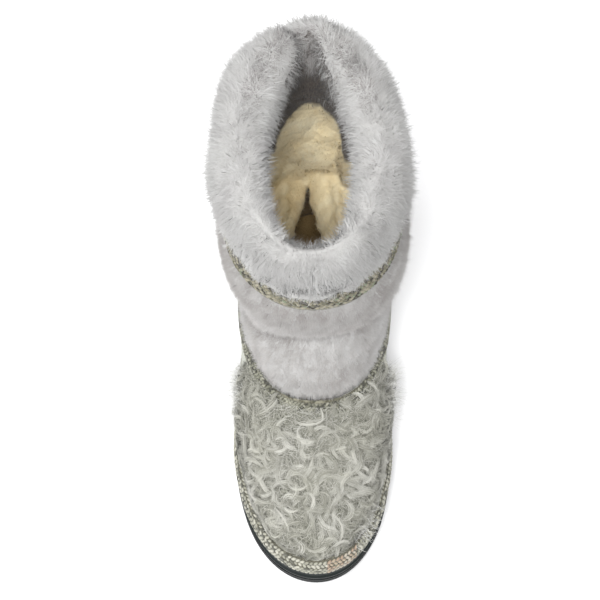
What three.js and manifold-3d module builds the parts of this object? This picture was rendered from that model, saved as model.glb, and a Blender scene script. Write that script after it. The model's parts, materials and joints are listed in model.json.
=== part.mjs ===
// A tall fur mukluk boot for the right foot: curly fur over a knitted foot, a plush leg that slouches
// above the ankle, a turned-down fur cuff and a dark rubber sole. Millimetres, +Z up, the toe towards -Y,
// the outer side of the foot towards -X.
import * as THREE from 'three';
import { mergeVertices } from 'three/addons/utils/BufferGeometryUtils.js';
import Module from 'manifold-3d';

const wasm = await Module();
wasm.setup();

// Driving sizes
const soleLength = 276;
const ballWidth = 104;
const forefootThickness = 10;
const heelThickness = 17;
const toeSpring = 8;
const archLift = 3.5;
const lugDepth = 3;
const lugWidth = 8;
const lugGap = 4.5;
const lugInset = 5;
const sideGrooveDepth = 1.3;
const soleBevel = 2.5; // round the foot of the sole's body
const lugRoot = 1; // how far the bars of tread reach up into the sole
const feather = 4.5; // how far the upper stands in from the edge of the sole
const footWall = 5; // knit, felt and fleece
const insoleThickness = 5;
const insoleClearance = 1;
const insoleRound = 1.6; // round its top edge
const instepHeight = 62; // from the top of the sole up to the leg's seam, at the front
const heelSeamHeight = 52; // the same at the back
const vampLength = 104.5; // from the tip of the toe to the leg's seam
const ankleWidth = 94;
const ankleBack = 13; // how far the leg's seam stands in from the back of the sole
const legWall = 7; // plush and fleece
const legCentre = 184; // behind the tip of the toe
const legHalfWidth = 60;
const legHalfDepth = 80;
const rimHeight = 255; // the top edge of the leg, above the floor
const slouchDepth = 5;
const cuffFoot = 0.73; // of the way up the leg, where the turned-down cuff ends
const cuffKnitFoot = 0.645;
const facingFoot = 0.65; // where the cuff's fur ends inside
const cuffLoft = 18; // how far the fur stands above the leg's edge
const cuffPile = 20;
const cuffWave = 1.2; // how far its surface rises and falls
const cuffTuftLength = 5.5; // how far its lowest tufts hang over the knit
const cuffTuftDepth = 1.6;
const randHeight = 7.5;
const randOverhang = 1.2; // the rand's foot stands this far in from the edge of the sole
const randThickness = 2; // at its top edge
const bumperThickness = 2.6; // at its top edge
const bumperProud = 0.9; // its ridge stands this far over the rand
const bumperShare = 0.115; // of the way round, on each side of the toe
const weltKnitHeight = 10;
const weltKnitThickness = 3.2;
const ankleKnitWidth = 7;
const ankleKnitThickness = 2.2;
const cuffKnitThickness = 3;
const peltThickness = 5.5;
const peltEdge = 2.2;
const peltFlank = 0.9; // how much thinner it gets low down on the flanks, as a share
const peltShoulder = 5; // more of it over the inner side of the instep
const peltBack = 130; // behind the tip of the toe
const peltTaper = 8; // its back edge thins over this length
const peltReach = 0.27; // how far round from the toe its back edge lies, at its foot
const peltReachTop = 0.17; // the same under the leg's seam
const lockLength = 24;
const lockWidth = 11;
const lockHeight = 8;
const gap = 0.3; // between pieces that touch
const seatGap = 0.5; // over the sole and at the leg's seam, where facets bridge a curve

const around = 48; // facets round the foot and the leg

// The edge of the sole from the tip of the toe round the inner side: along is a share of soleLength,
// across a share of ballWidth, with the outer side negative.
const soleEdge = [
  { along: 0.0, across: 0.045 },
  { along: 0.016, across: 0.2 },
  { along: 0.057, across: 0.318 },
  { along: 0.135, across: 0.437 },
  { along: 0.22, across: 0.495 },
  { along: 0.31, across: 0.52 },
  { along: 0.43, across: 0.5 },
  { along: 0.57, across: 0.462 },
  { along: 0.72, across: 0.425 },
  { along: 0.86, across: 0.375 },
  { along: 0.955, across: 0.25 },
  { along: 1.0, across: 0.015 },
  { along: 0.955, across: -0.22 },
  { along: 0.86, across: -0.345 },
  { along: 0.72, across: -0.39 },
  { along: 0.57, across: -0.425 },
  { along: 0.43, across: -0.46 },
  { along: 0.31, across: -0.478 },
  { along: 0.205, across: -0.435 },
  { along: 0.12, across: -0.358 },
  { along: 0.057, across: -0.25 },
  { along: 0.016, across: -0.125 },
];

// The sole from the side: spring and arch lift its underside, as shares of toeSpring and archLift, and
// body is how far its thickness has gone from the forefoot's to the heel's.
const soleProfile = [
  { along: 0.0, spring: 1.0, arch: 0, body: 0.05 },
  { along: 0.07, spring: 0.42, arch: 0, body: 0.02 },
  { along: 0.15, spring: 0, arch: 0, body: 0 },
  { along: 0.45, spring: 0, arch: 0, body: 0.1 },
  { along: 0.56, spring: 0, arch: 1.0, body: 0.45 },
  { along: 0.68, spring: 0, arch: 0.8, body: 0.8 },
  { along: 0.72, spring: 0, arch: 0, body: 0.95 },
  { along: 0.96, spring: 0, arch: 0, body: 1.0 },
  { along: 1.0, spring: 0.2, arch: 0, body: 1.0 },
];

// Where the bars of tread run, as shares of soleLength: under the ball and under the heel.
const treadZones = [
  { under: 'ball', from: 0.155, to: 0.44 },
  { under: 'heel', from: 0.725, to: 0.955 },
];

// How the foot's wall climbs from the sole to the leg's seam, by its place round the foot: lift and drop
// are shares of instepHeight, flare and swell shares of ballWidth, reach a share of vampLength.
const climbs = [
  { at: 'toe', round: 0.0, lift: 0.5, flare: 0.03, swell: 0, reach: 0.52, drop: 0.33 },
  { at: 'toe corner', round: 0.07, lift: 0.5, flare: 0.03, swell: 0.01, reach: 0.42, drop: 0.34 },
  { at: 'ball', round: 0.16, lift: 0.48, flare: 0.03, swell: 0.03, reach: 0.2, drop: 0.33 },
  { at: 'waist', round: 0.27, lift: 0.42, flare: 0.02, swell: 0.04, reach: 0.07, drop: 0.34 },
  { at: 'heel side', round: 0.4, lift: 0.38, flare: 0.03, swell: 0.03, reach: 0.03, drop: 0.3 },
  { at: 'heel', round: 0.5, lift: 0.4, flare: 0.035, swell: 0.01, reach: 0.02, drop: 0.3 },
];

// Rows of locks over the pelt: up runs from the welt to the ankle's knit, half is how far each row
// reaches each way of 1, heading its first lock's direction in radians.
const lockRows = [
  { up: 0.1, count: 7, half: 0.86, heading: 0.7 },
  { up: 0.29, count: 8, half: 0.9, heading: 2.4 },
  { up: 0.48, count: 8, half: 0.9, heading: 4.2 },
  { up: 0.67, count: 8, half: 0.92, heading: 5.6 },
  { up: 0.86, count: 7, half: 0.92, heading: 1.1 },
];

// Rings of the leg, from the seam up to its edge: up is a share of the leg's height, side and lean shares
// of legHalfWidth, front and back shares of legHalfDepth, the last two how blunt each end is.
const legSections = [
  { up: 0.0, side: 0.783, front: 0.994, back: 0.988, lean: 0.053, frontBlunt: 2.4, backBlunt: 2.3 },
  { up: 0.12, side: 0.825, front: 0.85, back: 0.98, lean: 0.05, frontBlunt: 2.4, backBlunt: 2.3 },
  { up: 0.24, side: 0.86, front: 0.688, back: 0.994, lean: 0.05, frontBlunt: 2.4, backBlunt: 2.3 },
  { up: 0.33, side: 0.925, front: 0.756, back: 1.025, lean: 0.068, frontBlunt: 2.4, backBlunt: 2.2 },
  { up: 0.42, side: 0.95, front: 0.825, back: 1.05, lean: 0.05, frontBlunt: 2.4, backBlunt: 2.1 },
  { up: 0.52, side: 0.98, front: 0.856, back: 1.07, lean: 0.035, frontBlunt: 2.3, backBlunt: 2.1 },
  { up: 0.59, side: 0.99, front: 0.863, back: 1.075, lean: 0.025, frontBlunt: 2.2, backBlunt: 2.1 },
  { up: 0.65, side: 0.867, front: 0.819, back: 1.06, lean: 0.015, frontBlunt: 2.1, backBlunt: 2.05 },
  { up: 0.73, side: 0.79, front: 0.806, back: 1.03, lean: 0.01, frontBlunt: 2.1, backBlunt: 2.0 },
  { up: 0.82, side: 0.742, front: 0.825, back: 1.02, lean: 0.0, frontBlunt: 2.05, backBlunt: 1.95 },
  { up: 0.91, side: 0.708, front: 0.84, back: 1.02, lean: -0.005, frontBlunt: 2.0, backBlunt: 1.95 },
  { up: 1.0, side: 0.683, front: 0.85, back: 1.02, lean: -0.01, frontBlunt: 2.0, backBlunt: 1.95 },
];

// Folds of the slack leg: round is where each is deepest, spread how far it runs each way, up its height
// and climb how much it rises towards the inner side, depth a share of slouchDepth, width a share of height.
const legFolds = [
  { name: 'ankle', round: 0.02, spread: 0.17, up: 0.27, climb: 1.2, depth: 1.0, width: 0.05 },
  { name: 'inner side', round: 0.2, spread: 0.12, up: 0.36, climb: 0.5, depth: 0.3, width: 0.04 },
  { name: 'heel tendon', round: 0.5, spread: 0.2, up: 0.33, climb: 0.0, depth: 0.9, width: 0.06 },
  { name: 'outer side', round: 0.78, spread: 0.14, up: 0.3, climb: -0.2, depth: 0.6, width: 0.045 },
  { name: 'instep', round: 0.05, spread: 0.1, up: 0.13, climb: 0.6, depth: 0.3, width: 0.03 },
];

// Rows of facets up the leg, as shares of its height. The cuff and its knit lie on the same rows.
const legRows = [0.06, 0.12, 0.18, 0.24, 0.29, 0.34, 0.42, 0.51, 0.59, cuffKnitFoot, cuffFoot, 0.86];
const innerLegRows = [0.12, 0.24, 0.34, 0.49, facingFoot, 0.82];

// The cuff's outer skin, from its lower edge up: up is a share of the leg's height, rise a share of
// cuffLoft above it, pile a share of the fur's thickness there.
const cuffOutside = [
  { up: 0.755, rise: 0, pile: 0.55 },
  { up: 0.84, rise: 0, pile: 0.9 },
  { up: 0.93, rise: 0, pile: 1.03 },
  { up: 1.0, rise: 0.3, pile: 0.92 },
  { up: 1.0, rise: 0.8, pile: 0.55 },
];

// How deep the cuff's fur is round the leg, as a share of cuffPile.
const cuffPiles = [
  { at: 'front', round: 0.0, pile: 0.48 },
  { at: 'inner side', round: 0.25, pile: 0.96 },
  { at: 'inner back', round: 0.37, pile: 0.88 },
  { at: 'back', round: 0.5, pile: 0.62 },
  { at: 'outer back', round: 0.64, pile: 1.1 },
  { at: 'outer side', round: 0.75, pile: 1.0 },
  { at: 'front', round: 1.0, pile: 0.48 },
];

// Rings of the opening, inside the cuff, from the lower edge of its fur up to its crest.
const openingSections = [
  { up: 0.67, rise: 0, side: 0.67, front: 0.7, back: 0.885, lean: 0, frontBlunt: 2.2, backBlunt: 2.1 },
  { up: 0.78, rise: 0, side: 0.53, front: 0.71, back: 0.89, lean: 0, frontBlunt: 2.3, backBlunt: 1.8 },
  { up: 0.95, rise: 0, side: 0.39, front: 0.735, back: 0.83, lean: -0.013, frontBlunt: 2.5, backBlunt: 1.35 },
  { up: 1.0, rise: 0.6, side: 0.4, front: 0.745, back: 0.84, lean: -0.013, frontBlunt: 2.5, backBlunt: 1.35 },
];

const lerp = (a, b, t) => a + (b - a) * t;
const bell = (t) => Math.exp(-t * t);
const wrap = (t) => t - Math.floor(t);

// Reads a column of a table at a place between its rows, smoothly and without overshoot.
function readTable(rows, key, column, at) {
  let i = 0;
  while (i < rows.length - 2 && at > rows[i + 1][key]) i += 1;
  const span = (j) => rows[j + 1][key] - rows[j][key];
  const slope = (j) => (rows[j + 1][column] - rows[j][column]) / span(j);
  const tangent = (j) => {
    if (j === 0 || j === rows.length - 1) return 0;
    const before = slope(j - 1);
    const after = slope(j);
    return before * after > 0 ? (2 * before * after) / (before + after) : 0;
  };
  const t = THREE.MathUtils.clamp((at - rows[i][key]) / span(i), 0, 1);
  const t2 = t * t;
  const t3 = t2 * t;
  return (2 * t3 - 3 * t2 + 1) * rows[i][column] + (t3 - 2 * t2 + t) * span(i) * tangent(i)
    + (3 * t2 - 2 * t3) * rows[i + 1][column] + (t3 - t2) * span(i) * tangent(i + 1);
}

// The sole
const edgeCurve = new THREE.CatmullRomCurve3(
  soleEdge.map((p) => new THREE.Vector3(p.across * ballWidth, p.along * soleLength, 0)),
  true,
  'centripetal',
);
edgeCurve.arcLengthDivisions = 800;

// A point of the sole's edge, moved inwards in plan, by its share of the way round from the toe.
function edgePoint(round, inset) {
  const at = wrap(round);
  const point = edgeCurve.getPointAt(at);
  const along = edgeCurve.getTangentAt(at);
  return new THREE.Vector3(point.x - along.y * inset, point.y + along.x * inset, 0);
}

const soleUnder = (y) => {
  const along = THREE.MathUtils.clamp(y / soleLength, 0, 1);
  return readTable(soleProfile, 'along', 'spring', along) * toeSpring
    + readTable(soleProfile, 'along', 'arch', along) * archLift;
};
const soleTop = (y) => {
  const along = THREE.MathUtils.clamp(y / soleLength, 0, 1);
  const body = lerp(forefootThickness, heelThickness, readTable(soleProfile, 'along', 'body', along));
  return body + readTable(soleProfile, 'along', 'spring', along) * toeSpring;
};

// The foot: a wall that climbs from the sole's edge to the leg's seam
const seamFront = vampLength;
const seamBack = soleLength - ankleBack;
const seamHeight = (y) => lerp(
  soleTop(seamFront) + instepHeight,
  soleTop(seamBack) + heelSeamHeight,
  THREE.MathUtils.smoothstep(y, seamFront, seamBack),
);

// A point of a ring round the leg's axis, by its share of the way round from the front.
function legRing(round, ring) {
  const angle = wrap(round) * Math.PI * 2;
  const ahead = Math.cos(angle);
  const blunt = ahead > 0 ? ring.frontBlunt : ring.backBlunt;
  const depth = legHalfDepth * (ahead > 0 ? ring.front : ring.back);
  const reach = (value) => Math.sign(value) * Math.abs(value) ** (2 / blunt);
  const side = legHalfWidth * (ring.side * reach(Math.sin(angle)) + ring.lean);
  return new THREE.Vector3(side, legCentre - depth * reach(ahead), 0);
}

const seamRing = {
  ...legSections[0],
  side: ankleWidth / 2 / legHalfWidth,
  front: (legCentre - seamFront) / legHalfDepth,
  back: (seamBack - legCentre) / legHalfDepth,
};
function seamPoint(round) {
  const point = legRing(round, seamRing);
  point.z = seamHeight(point.y);
  return point;
}

function climbAt(round) {
  const fromToe = Math.min(wrap(round), 1 - wrap(round));
  return {
    lift: readTable(climbs, 'round', 'lift', fromToe) * instepHeight,
    flare: readTable(climbs, 'round', 'flare', fromToe) * ballWidth,
    swell: readTable(climbs, 'round', 'swell', fromToe) * ballWidth,
    reach: readTable(climbs, 'round', 'reach', fromToe) * vampLength,
    drop: readTable(climbs, 'round', 'drop', fromToe) * instepHeight,
  };
}

// A point of the foot's outer skin: rise runs from 0 at the sole to 1 at the leg's seam.
function footSkin(round, rise) {
  const foot = edgePoint(round, feather);
  foot.z = soleTop(foot.y) + seatGap;
  const seam = seamPoint(round);
  const { lift, flare, swell, reach, drop } = climbAt(round);
  const outwards = edgePoint(round, 0).sub(edgePoint(round, feather)).setZ(0).normalize();
  const towardsFoot = new THREE.Vector3(foot.x - seam.x, foot.y - seam.y, 0).normalize();
  const fromAxis = new THREE.Vector3(seam.x, seam.y - legCentre, 0).normalize();
  const handle = towardsFoot.multiplyScalar(reach).addScaledVector(fromAxis, swell).setZ(-drop);
  const curve = new THREE.CubicBezierCurve3(
    foot,
    foot.clone().addScaledVector(outwards, flare).add(new THREE.Vector3(0, 0, lift)),
    seam.clone().add(handle),
    seam,
  );
  return curve.getPoint(rise);
}

// The outward normal of a skin, which is a function of round and rise.
function normalOf(skin, round, rise) {
  const step = 0.004;
  const low = Math.max(0, rise - step);
  const high = Math.min(1, rise + step);
  const sideways = skin(round + step, rise).sub(skin(round - step, rise));
  const upwards = skin(round, high).sub(skin(round, low));
  return sideways.cross(upwards).normalize();
}

function offSkin(skin, round, rise, out) {
  return skin(round, rise).addScaledVector(normalOf(skin, round, rise), out);
}

// The rise at which the foot's skin is a given height above the sole.
function riseAt(round, height) {
  const floor = footSkin(round, 0).z;
  let low = 0;
  let high = 1;
  for (let i = 0; i < 24; i += 1) {
    const middle = (low + high) / 2;
    if (footSkin(round, middle).z - floor < height) low = middle;
    else high = middle;
  }
  return (low + high) / 2;
}

// Rows of facets up the foot's wall. The pieces that lie on the wall share them, so that they lie true.
const randRow = 1;
const weltRow = 2;
const ankleKnitRow = 7;
const seamRow = 8;
function rowRise(round, row) {
  if (row === 0) return 0;
  if (row === seamRow) return 1;
  if (row === randRow) return riseAt(round, randHeight);
  const welt = riseAt(round, randHeight + weltKnitHeight);
  const knit = 1 - ankleKnitWidth / (5 * footSkin(round, 0.8).distanceTo(footSkin(round, 1)));
  return lerp(welt, knit, (row - weltRow) / (ankleKnitRow - weltRow));
}

// A point over the foot's wall; a row may be a whole row or a place between two.
function footPoint(round, row, out) {
  const below = Math.floor(row);
  const rise = row === below
    ? rowRise(round, row)
    : lerp(rowRise(round, below), rowRise(round, below + 1), row - below);
  const point = offSkin(footSkin, round, rise, out);
  return row === 0 ? point.setZ(soleTop(point.y) + seatGap) : point;
}

// The leg
const seamProud = legWall - footWall; // the plush stands this far over the foot's edge
const legHeight = (up, y) => lerp(seamHeight(y), rimHeight, up);

function foldIn(round, up) {
  let depth = 0;
  for (const fold of legFolds) {
    const away = wrap(round - fold.round + 0.5) - 0.5;
    const height = fold.up + fold.climb * away;
    depth += fold.depth * slouchDepth * bell(away / fold.spread) * bell((up - height) / fold.width);
  }
  return depth;
}

const legTable = [seamRing, ...legSections.slice(1)];
function legSkin(round, up) {
  const ring = Object.fromEntries(
    Object.keys(seamRing).map((column) => [column, readTable(legTable, 'up', column, up)]),
  );
  const point = legRing(round, ring);
  const outwards = point.clone().sub(new THREE.Vector3(ring.lean * legHalfWidth, legCentre, 0)).normalize();
  const first = legTable[1].up;
  const settled = THREE.MathUtils.smoothstep(up, 0, first);
  point.addScaledVector(outwards, seamProud * (1 - settled) - foldIn(round, up) * settled);
  return point.setZ(legHeight(up, point.y));
}

// A point over the leg's wall. Its lowest row is the seam and its highest row is level.
function legPoint(round, up, out) {
  if (up > 0) {
    const point = offSkin(legSkin, round, up, out);
    return up === 1 ? point.setZ(rimHeight) : point;
  }
  const seam = footSkin(round, 1);
  const climb = seam.clone().sub(footSkin(round, 0.99)).normalize();
  return seam.addScaledVector(normalOf(footSkin, round, 1), out + seamProud).addScaledVector(climb, seatGap);
}

// Joins each loop of points to the next, and closes both ends unless the last loop meets the first. The
// diagonal of each facet climbs the same way on both faces of a wall, so that pieces nest without cutting.
function skinLoops(loops, meets) {
  const count = loops[0].length;
  const positions = loops.flat().flatMap((p) => [p.x, p.y, p.z]);
  const index = [];
  const last = loops.length - (meets ? 0 : 1);
  for (let i = 0; i < last; i += 1) {
    const here = i * count;
    const next = ((i + 1) % loops.length) * count;
    for (let j = 0; j < count; j += 1) {
      const k = (j + 1) % count;
      const [a, b, c, d] = [here + j, here + k, next + j, next + k];
      if (loops[i][k].z > loops[i][j].z) index.push(a, b, d, a, d, c);
      else index.push(a, b, c, b, d, c);
    }
  }
  // Each end is closed with rungs, from a point to its partner counted from the loop's other end.
  const top = (loops.length - 1) * count;
  for (let low = 0, high = count - 1; !meets && low + 1 < high; low += 1, high -= 1) {
    index.push(low, high, low + 1, top + low, top + low + 1, top + high);
    if (low + 1 < high - 1) {
      index.push(low + 1, high, high - 1, top + low + 1, top + high - 1, top + high);
    }
  }
  return surface(positions, index);
}

function surface(positions, index) {
  const geometry = new THREE.BufferGeometry();
  geometry.setAttribute('position', new THREE.Float32BufferAttribute(positions, 3));
  geometry.setIndex(index);
  return geometry;
}

function toSolid(geometry) {
  const bare = geometry.clone();
  bare.deleteAttribute('normal');
  bare.deleteAttribute('uv');
  const merged = mergeVertices(bare, 1e-4);
  return new wasm.Manifold(new wasm.Mesh({
    numProp: 3,
    vertProperties: merged.attributes.position.array,
    triVerts: new Uint32Array(merged.index.array),
  }));
}

function toGeometry(solid) {
  const mesh = solid.getMesh();
  return surface(Array.from(mesh.vertProperties), Array.from(mesh.triVerts));
}

// Joins solids into one body, with what is sealed inside it filled and loose crumbs dropped.
function joined(solids) {
  const bodies = wasm.Manifold.union(solids).decompose();
  return bodies.reduce((largest, body) => (body.volume() > largest.volume() ? body : largest));
}

const shares = (count) => Array.from({ length: count }, (_, i) => i / count);
const columns = shares(around);
const columnsBetween = (from, to) => [
  from,
  ...Array.from({ length: 2 * around }, (_, i) => i / around - 0.5).filter((at) => at > from && at < to),
  to,
];

// Rubber sole: a body with a bevelled foot and a groove along its side, on bars of tread
function makeOutsole() {
  const ring = (inset, share, add) => columns.map((round) => {
    const point = edgePoint(round, inset);
    const low = soleUnder(point.y) + lugDepth;
    return point.setZ(lerp(low, soleTop(point.y), share) + add);
  });
  const body = toSolid(skinLoops([
    ring(soleBevel, 0, 0),
    ring(0, 0.25, 0),
    ring(0, 0.5, 0),
    ring(sideGrooveDepth, 0.58, 0),
    ring(sideGrooveDepth, 0.68, 0),
    ring(0, 0.76, 0),
    ring(0, 1, 0),
  ]));
  const plan = new THREE.Shape(columns.map((round) => {
    const point = edgePoint(round, lugInset);
    return new THREE.Vector2(point.x, point.y);
  }));
  const tread = toSolid(new THREE.ExtrudeGeometry(plan, { depth: lugDepth + lugRoot, bevelEnabled: false }));
  const pitch = lugWidth + lugGap;
  const bars = treadZones.flatMap(({ from, to }) => {
    const count = Math.floor(((to - from) * soleLength + lugGap) / pitch);
    return Array.from({ length: count }, (_, i) => {
      const bar = new THREE.BoxGeometry(ballWidth * 1.2, lugWidth, lugDepth + lugRoot);
      bar.translate(0, from * soleLength + lugWidth / 2 + i * pitch, (lugDepth + lugRoot) / 2);
      return toSolid(bar);
    });
  });
  return toGeometry(body.add(wasm.Manifold.union(bars).intersect(tread)));
}

// Fleece footbed, inside the upper
function makeInsole() {
  const ring = (inset, height) => columns.map((round) => {
    const point = edgePoint(round, feather + footWall + inset);
    return point.setZ(soleTop(point.y) + seatGap + height);
  });
  return skinLoops([
    ring(insoleClearance, 0),
    ring(insoleClearance, insoleThickness * 0.7),
    ring(insoleClearance + insoleRound, insoleThickness),
  ]);
}

// A piece that follows the foot's wall: outside lists its rows from the bottom up.
function onFoot(places, outside, insideRows, insideOut) {
  const sections = places.map((round) => [
    ...insideRows.map((row) => footPoint(round, row, insideOut)),
    ...outside.toReversed().map(({ row, out }) => footPoint(round, row, out)),
  ]);
  return skinLoops(sections, places === columns);
}

// The knitted foot: one hollow wall from the sole to the leg's seam, open at both ends
function makeUpper() {
  const outside = Array.from({ length: seamRow + 1 }, (_, row) => ({ row, out: 0 }));
  return onFoot(columns, outside, [0, randRow, weltRow, 4, 6, seamRow], -footWall);
}

// Felt rand along both sides and the heel, and the rubber bumper that takes its place round the toe
const randFoot = feather - randOverhang;
const randTop = randRow - 0.03;
const makeRand = () => onFoot(
  columnsBetween(bumperShare - 0.5, 0.5 - bumperShare).map((round) => round + 0.5),
  [{ row: 0, out: randFoot }, { row: 0.45, out: randFoot * 0.9 }, { row: randTop, out: randThickness }],
  [0, randTop],
  gap,
);
const makeToeBumper = () => onFoot(
  columnsBetween(0.0008 - bumperShare, bumperShare - 0.0008),
  [
    { row: 0, out: randFoot + bumperProud * 0.7 },
    { row: 0.5, out: randFoot + bumperProud },
    { row: 0.62, out: randFoot * 0.88 },
    { row: randTop, out: bumperThickness },
  ],
  [0, randTop],
  gap,
);

// Knitted braid round the foot, above the rand
const makeWeltKnit = () => onFoot(
  columns,
  [
    { row: randRow + 0.04, out: weltKnitThickness * 0.75 },
    { row: (randRow + weltRow) / 2, out: weltKnitThickness + gap },
    { row: weltRow - 0.04, out: weltKnitThickness * 0.75 },
  ],
  [randRow, weltRow],
  gap,
);

// Knitted band under the leg's seam, lying on the foot
const makeAnkleKnit = () => onFoot(
  columns,
  [
    { row: ankleKnitRow + 0.05, out: ankleKnitThickness * 0.8 },
    { row: ankleKnitRow + 0.5, out: ankleKnitThickness + gap },
    { row: seamRow, out: ankleKnitThickness * 0.8 },
  ],
  [ankleKnitRow, seamRow],
  gap,
);

// Curly pelt over the front of the foot, with its locks fused on. Along runs from -1 to 1 across the
// foot, up from 0 at the welt to 1 at the ankle's knit.
const peltRows = [weltRow + 0.06, 3, 4, 5, 6, ankleKnitRow - 0.06];
const peltPoint = (along, up, out) => footPoint(
  along * lerp(peltReach, peltReachTop, up),
  lerp(peltRows[0], peltRows[peltRows.length - 1], up),
  out,
);

function makeLock({ along, up, heading, curl, length }) {
  const sections = 4;
  const loops = [];
  const step = length / sections;
  let [here, height] = [along, up];
  for (let i = 0; i <= sections; i += 1) {
    const t = i / sections;
    const turn = heading + curl * t;
    const root = peltPoint(here, height, 0);
    const eastwards = peltPoint(here + 0.01, height, 0).sub(root);
    const upwards = peltPoint(here, height + 0.01, 0).sub(root);
    const ahead = eastwards.clone().normalize().multiplyScalar(Math.cos(turn))
      .addScaledVector(upwards.clone().normalize(), Math.sin(turn))
      .normalize();
    const out = eastwards.clone().cross(upwards).normalize();
    const across = ahead.clone().cross(out).normalize();
    const swell = Math.sin(Math.PI * (0.2 + 0.72 * t));
    const high = lockHeight * (1 - 0.65 * here ** 2 * (1 - 0.5 * height));
    const middle = root.addScaledVector(out, peltThickness - lockHeight * 0.1 * (1 - swell));
    loops.push(shares(3).map((share) => {
      const angle = share * Math.PI * 2;
      return middle.clone()
        .addScaledVector(across, Math.sin(angle) * lockWidth * 0.5 * swell)
        .addScaledVector(out, Math.cos(angle) * high * 0.5 * swell);
    }));
    here = THREE.MathUtils.clamp(here + (Math.cos(turn) * step * 0.01) / eastwards.length(), -0.97, 0.97);
    height = THREE.MathUtils.clamp(height + (Math.sin(turn) * step * 0.01) / upwards.length(), 0.05, 0.95);
  }
  return toSolid(skinLoops(loops));
}

function makePelt() {
  const places = columnsBetween(-peltReach, peltReach);
  const thickness = (round, row) => {
    const fromBack = (peltBack - footPoint(round, row, 0).y) / peltTaper;
    const fromEdge = Math.min(row - peltRows[0], peltRows[peltRows.length - 1] - row) * 1.5;
    const inside = THREE.MathUtils.smoothstep(Math.min(fromBack, fromEdge), 0, 1);
    const shoulder = peltShoulder * bell((round - 0.2) / 0.035) * bell((row - 5) / 1.2);
    const flank = peltFlank * (round / peltReach) ** 2 * (1 - row / seamRow);
    return lerp(peltEdge, peltThickness * (1 - flank) + shoulder, inside);
  };
  const sections = places.map((round) => [
    ...peltRows.map((row) => footPoint(round, row, gap)),
    ...peltRows.toReversed().map((row) => footPoint(round, row, thickness(round, row))),
  ]);
  const sheet = toSolid(skinLoops(sections)).trimByPlane([0, -1, 0], -peltBack);
  const locks = lockRows.flatMap(({ up, count, half, heading }, row) => (
    Array.from({ length: count }, (_, i) => {
      const wobble = Math.sin(2.4 * i + 1.7 * row);
      return makeLock({
        along: half * ((2 * (i + 0.5)) / count - 1),
        up: up + 0.05 * wobble,
        heading: heading + 2.1 * i + wobble,
        curl: (i + row) % 2 ? 2.2 : -2.2,
        length: lockLength * (1 + 0.12 * wobble),
      });
    })
  ));
  return toGeometry(joined([sheet, ...locks]));
}

// Plush leg: a hollow wall from the foot's seam to the edge inside the cuff
function makeLeg() {
  const sections = columns.map((round) => [
    ...[0, ...innerLegRows, 1].map((up) => legPoint(round, up, -legWall)),
    ...[0, ...legRows, 1].reverse().map((up) => legPoint(round, up, 0)),
  ]);
  return skinLoops(sections, true);
}

// Knitted band under the cuff's lower edge, round the leg
function makeCuffKnit() {
  const top = cuffFoot - 0.004;
  const sections = columns.map((round) => [
    legPoint(round, cuffKnitFoot, gap),
    legPoint(round, top, gap),
    legPoint(round, top, cuffKnitThickness * 0.8),
    legPoint(round, (cuffKnitFoot + top) / 2, cuffKnitThickness + gap),
    legPoint(round, cuffKnitFoot, cuffKnitThickness * 0.8),
  ]);
  return skinLoops(sections, true);
}

// Fur cuff: folded over the leg's edge, with uneven tufts that hang from its lower edge over the knit
function pileAt(round, share) {
  const wave = Math.sin(wrap(round) * Math.PI * 14 + share * 5) * cuffWave * share;
  return readTable(cuffPiles, 'round', 'pile', wrap(round)) * cuffPile * share + wave;
}
const tuftAt = (round) => cuffTuftLength * (0.5 + 0.5 * Math.sin(wrap(round) * Math.PI * 34));

function makeCuff() {
  const raise = (point, height) => point.setZ(point.z + height);
  const onLeg = legRows.filter((up) => up >= cuffFoot);
  const onLining = innerLegRows.filter((up) => up >= facingFoot);
  const overKnit = cuffKnitThickness + 2 * gap;
  const sections = columns.map((round) => [
    ...onLeg.map((up) => legPoint(round, up, gap)),
    raise(legPoint(round, 1, gap), gap),
    raise(legPoint(round, 1, -legWall - gap), gap),
    ...onLining.toReversed().map((up) => legPoint(round, up, -legWall - gap)),
    ...openingSections.map((ring) => {
      const point = legRing(round, ring);
      return point.setZ(legHeight(ring.up, point.y) + ring.rise * cuffLoft);
    }),
    raise(legPoint(round, 1, 0), cuffLoft),
    ...cuffOutside.toReversed().map(({ up, rise, pile }) => (
      raise(legPoint(round, up, pileAt(round, pile)), rise * cuffLoft)
    )),
    raise(legPoint(round, cuffFoot, overKnit + cuffTuftDepth), -tuftAt(round)),
    legPoint(round, cuffFoot, overKnit),
  ]);
  return toGeometry(toSolid(skinLoops(sections, true)));
}

const finishes = {
  rubber: { color: 0x1d2322, roughness: 0.62 },
  felt: { color: 0x3a3d3a, roughness: 0.95 },
  fleece: { color: 0xd9c9a2, roughness: 1 },
  knit: { color: 0x9a9680, roughness: 0.95 },
  curls: { color: 0xc9c7ba, roughness: 0.9 },
  plush: { color: 0xd0cecf, roughness: 0.95 },
};

const boot = new THREE.Group();
function addPiece(name, geometry, finish) {
  const mesh = new THREE.Mesh(geometry, new THREE.MeshStandardMaterial({ ...finishes[finish], metalness: 0 }));
  mesh.name = name;
  boot.add(mesh);
}

addPiece('outsole', makeOutsole(), 'rubber');
addPiece('insole', makeInsole(), 'fleece');
addPiece('upper', makeUpper(), 'knit');
addPiece('rand', makeRand(), 'felt');
addPiece('toe_bumper', makeToeBumper(), 'rubber');
addPiece('welt_knit', makeWeltKnit(), 'knit');
addPiece('ankle_knit', makeAnkleKnit(), 'knit');
addPiece('vamp_pelt', makePelt(), 'curls');
addPiece('leg', makeLeg(), 'plush');
addPiece('cuff_knit', makeCuffKnit(), 'knit');
addPiece('cuff', makeCuff(), 'plush');

// The origin lies under the middle of the boot, on the floor.
const box = new THREE.Box3().setFromObject(boot);
const middle = box.getCenter(new THREE.Vector3());
boot.position.set(-middle.x, -middle.y, -box.min.z);

export default boot;
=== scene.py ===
import json
import math

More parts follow.
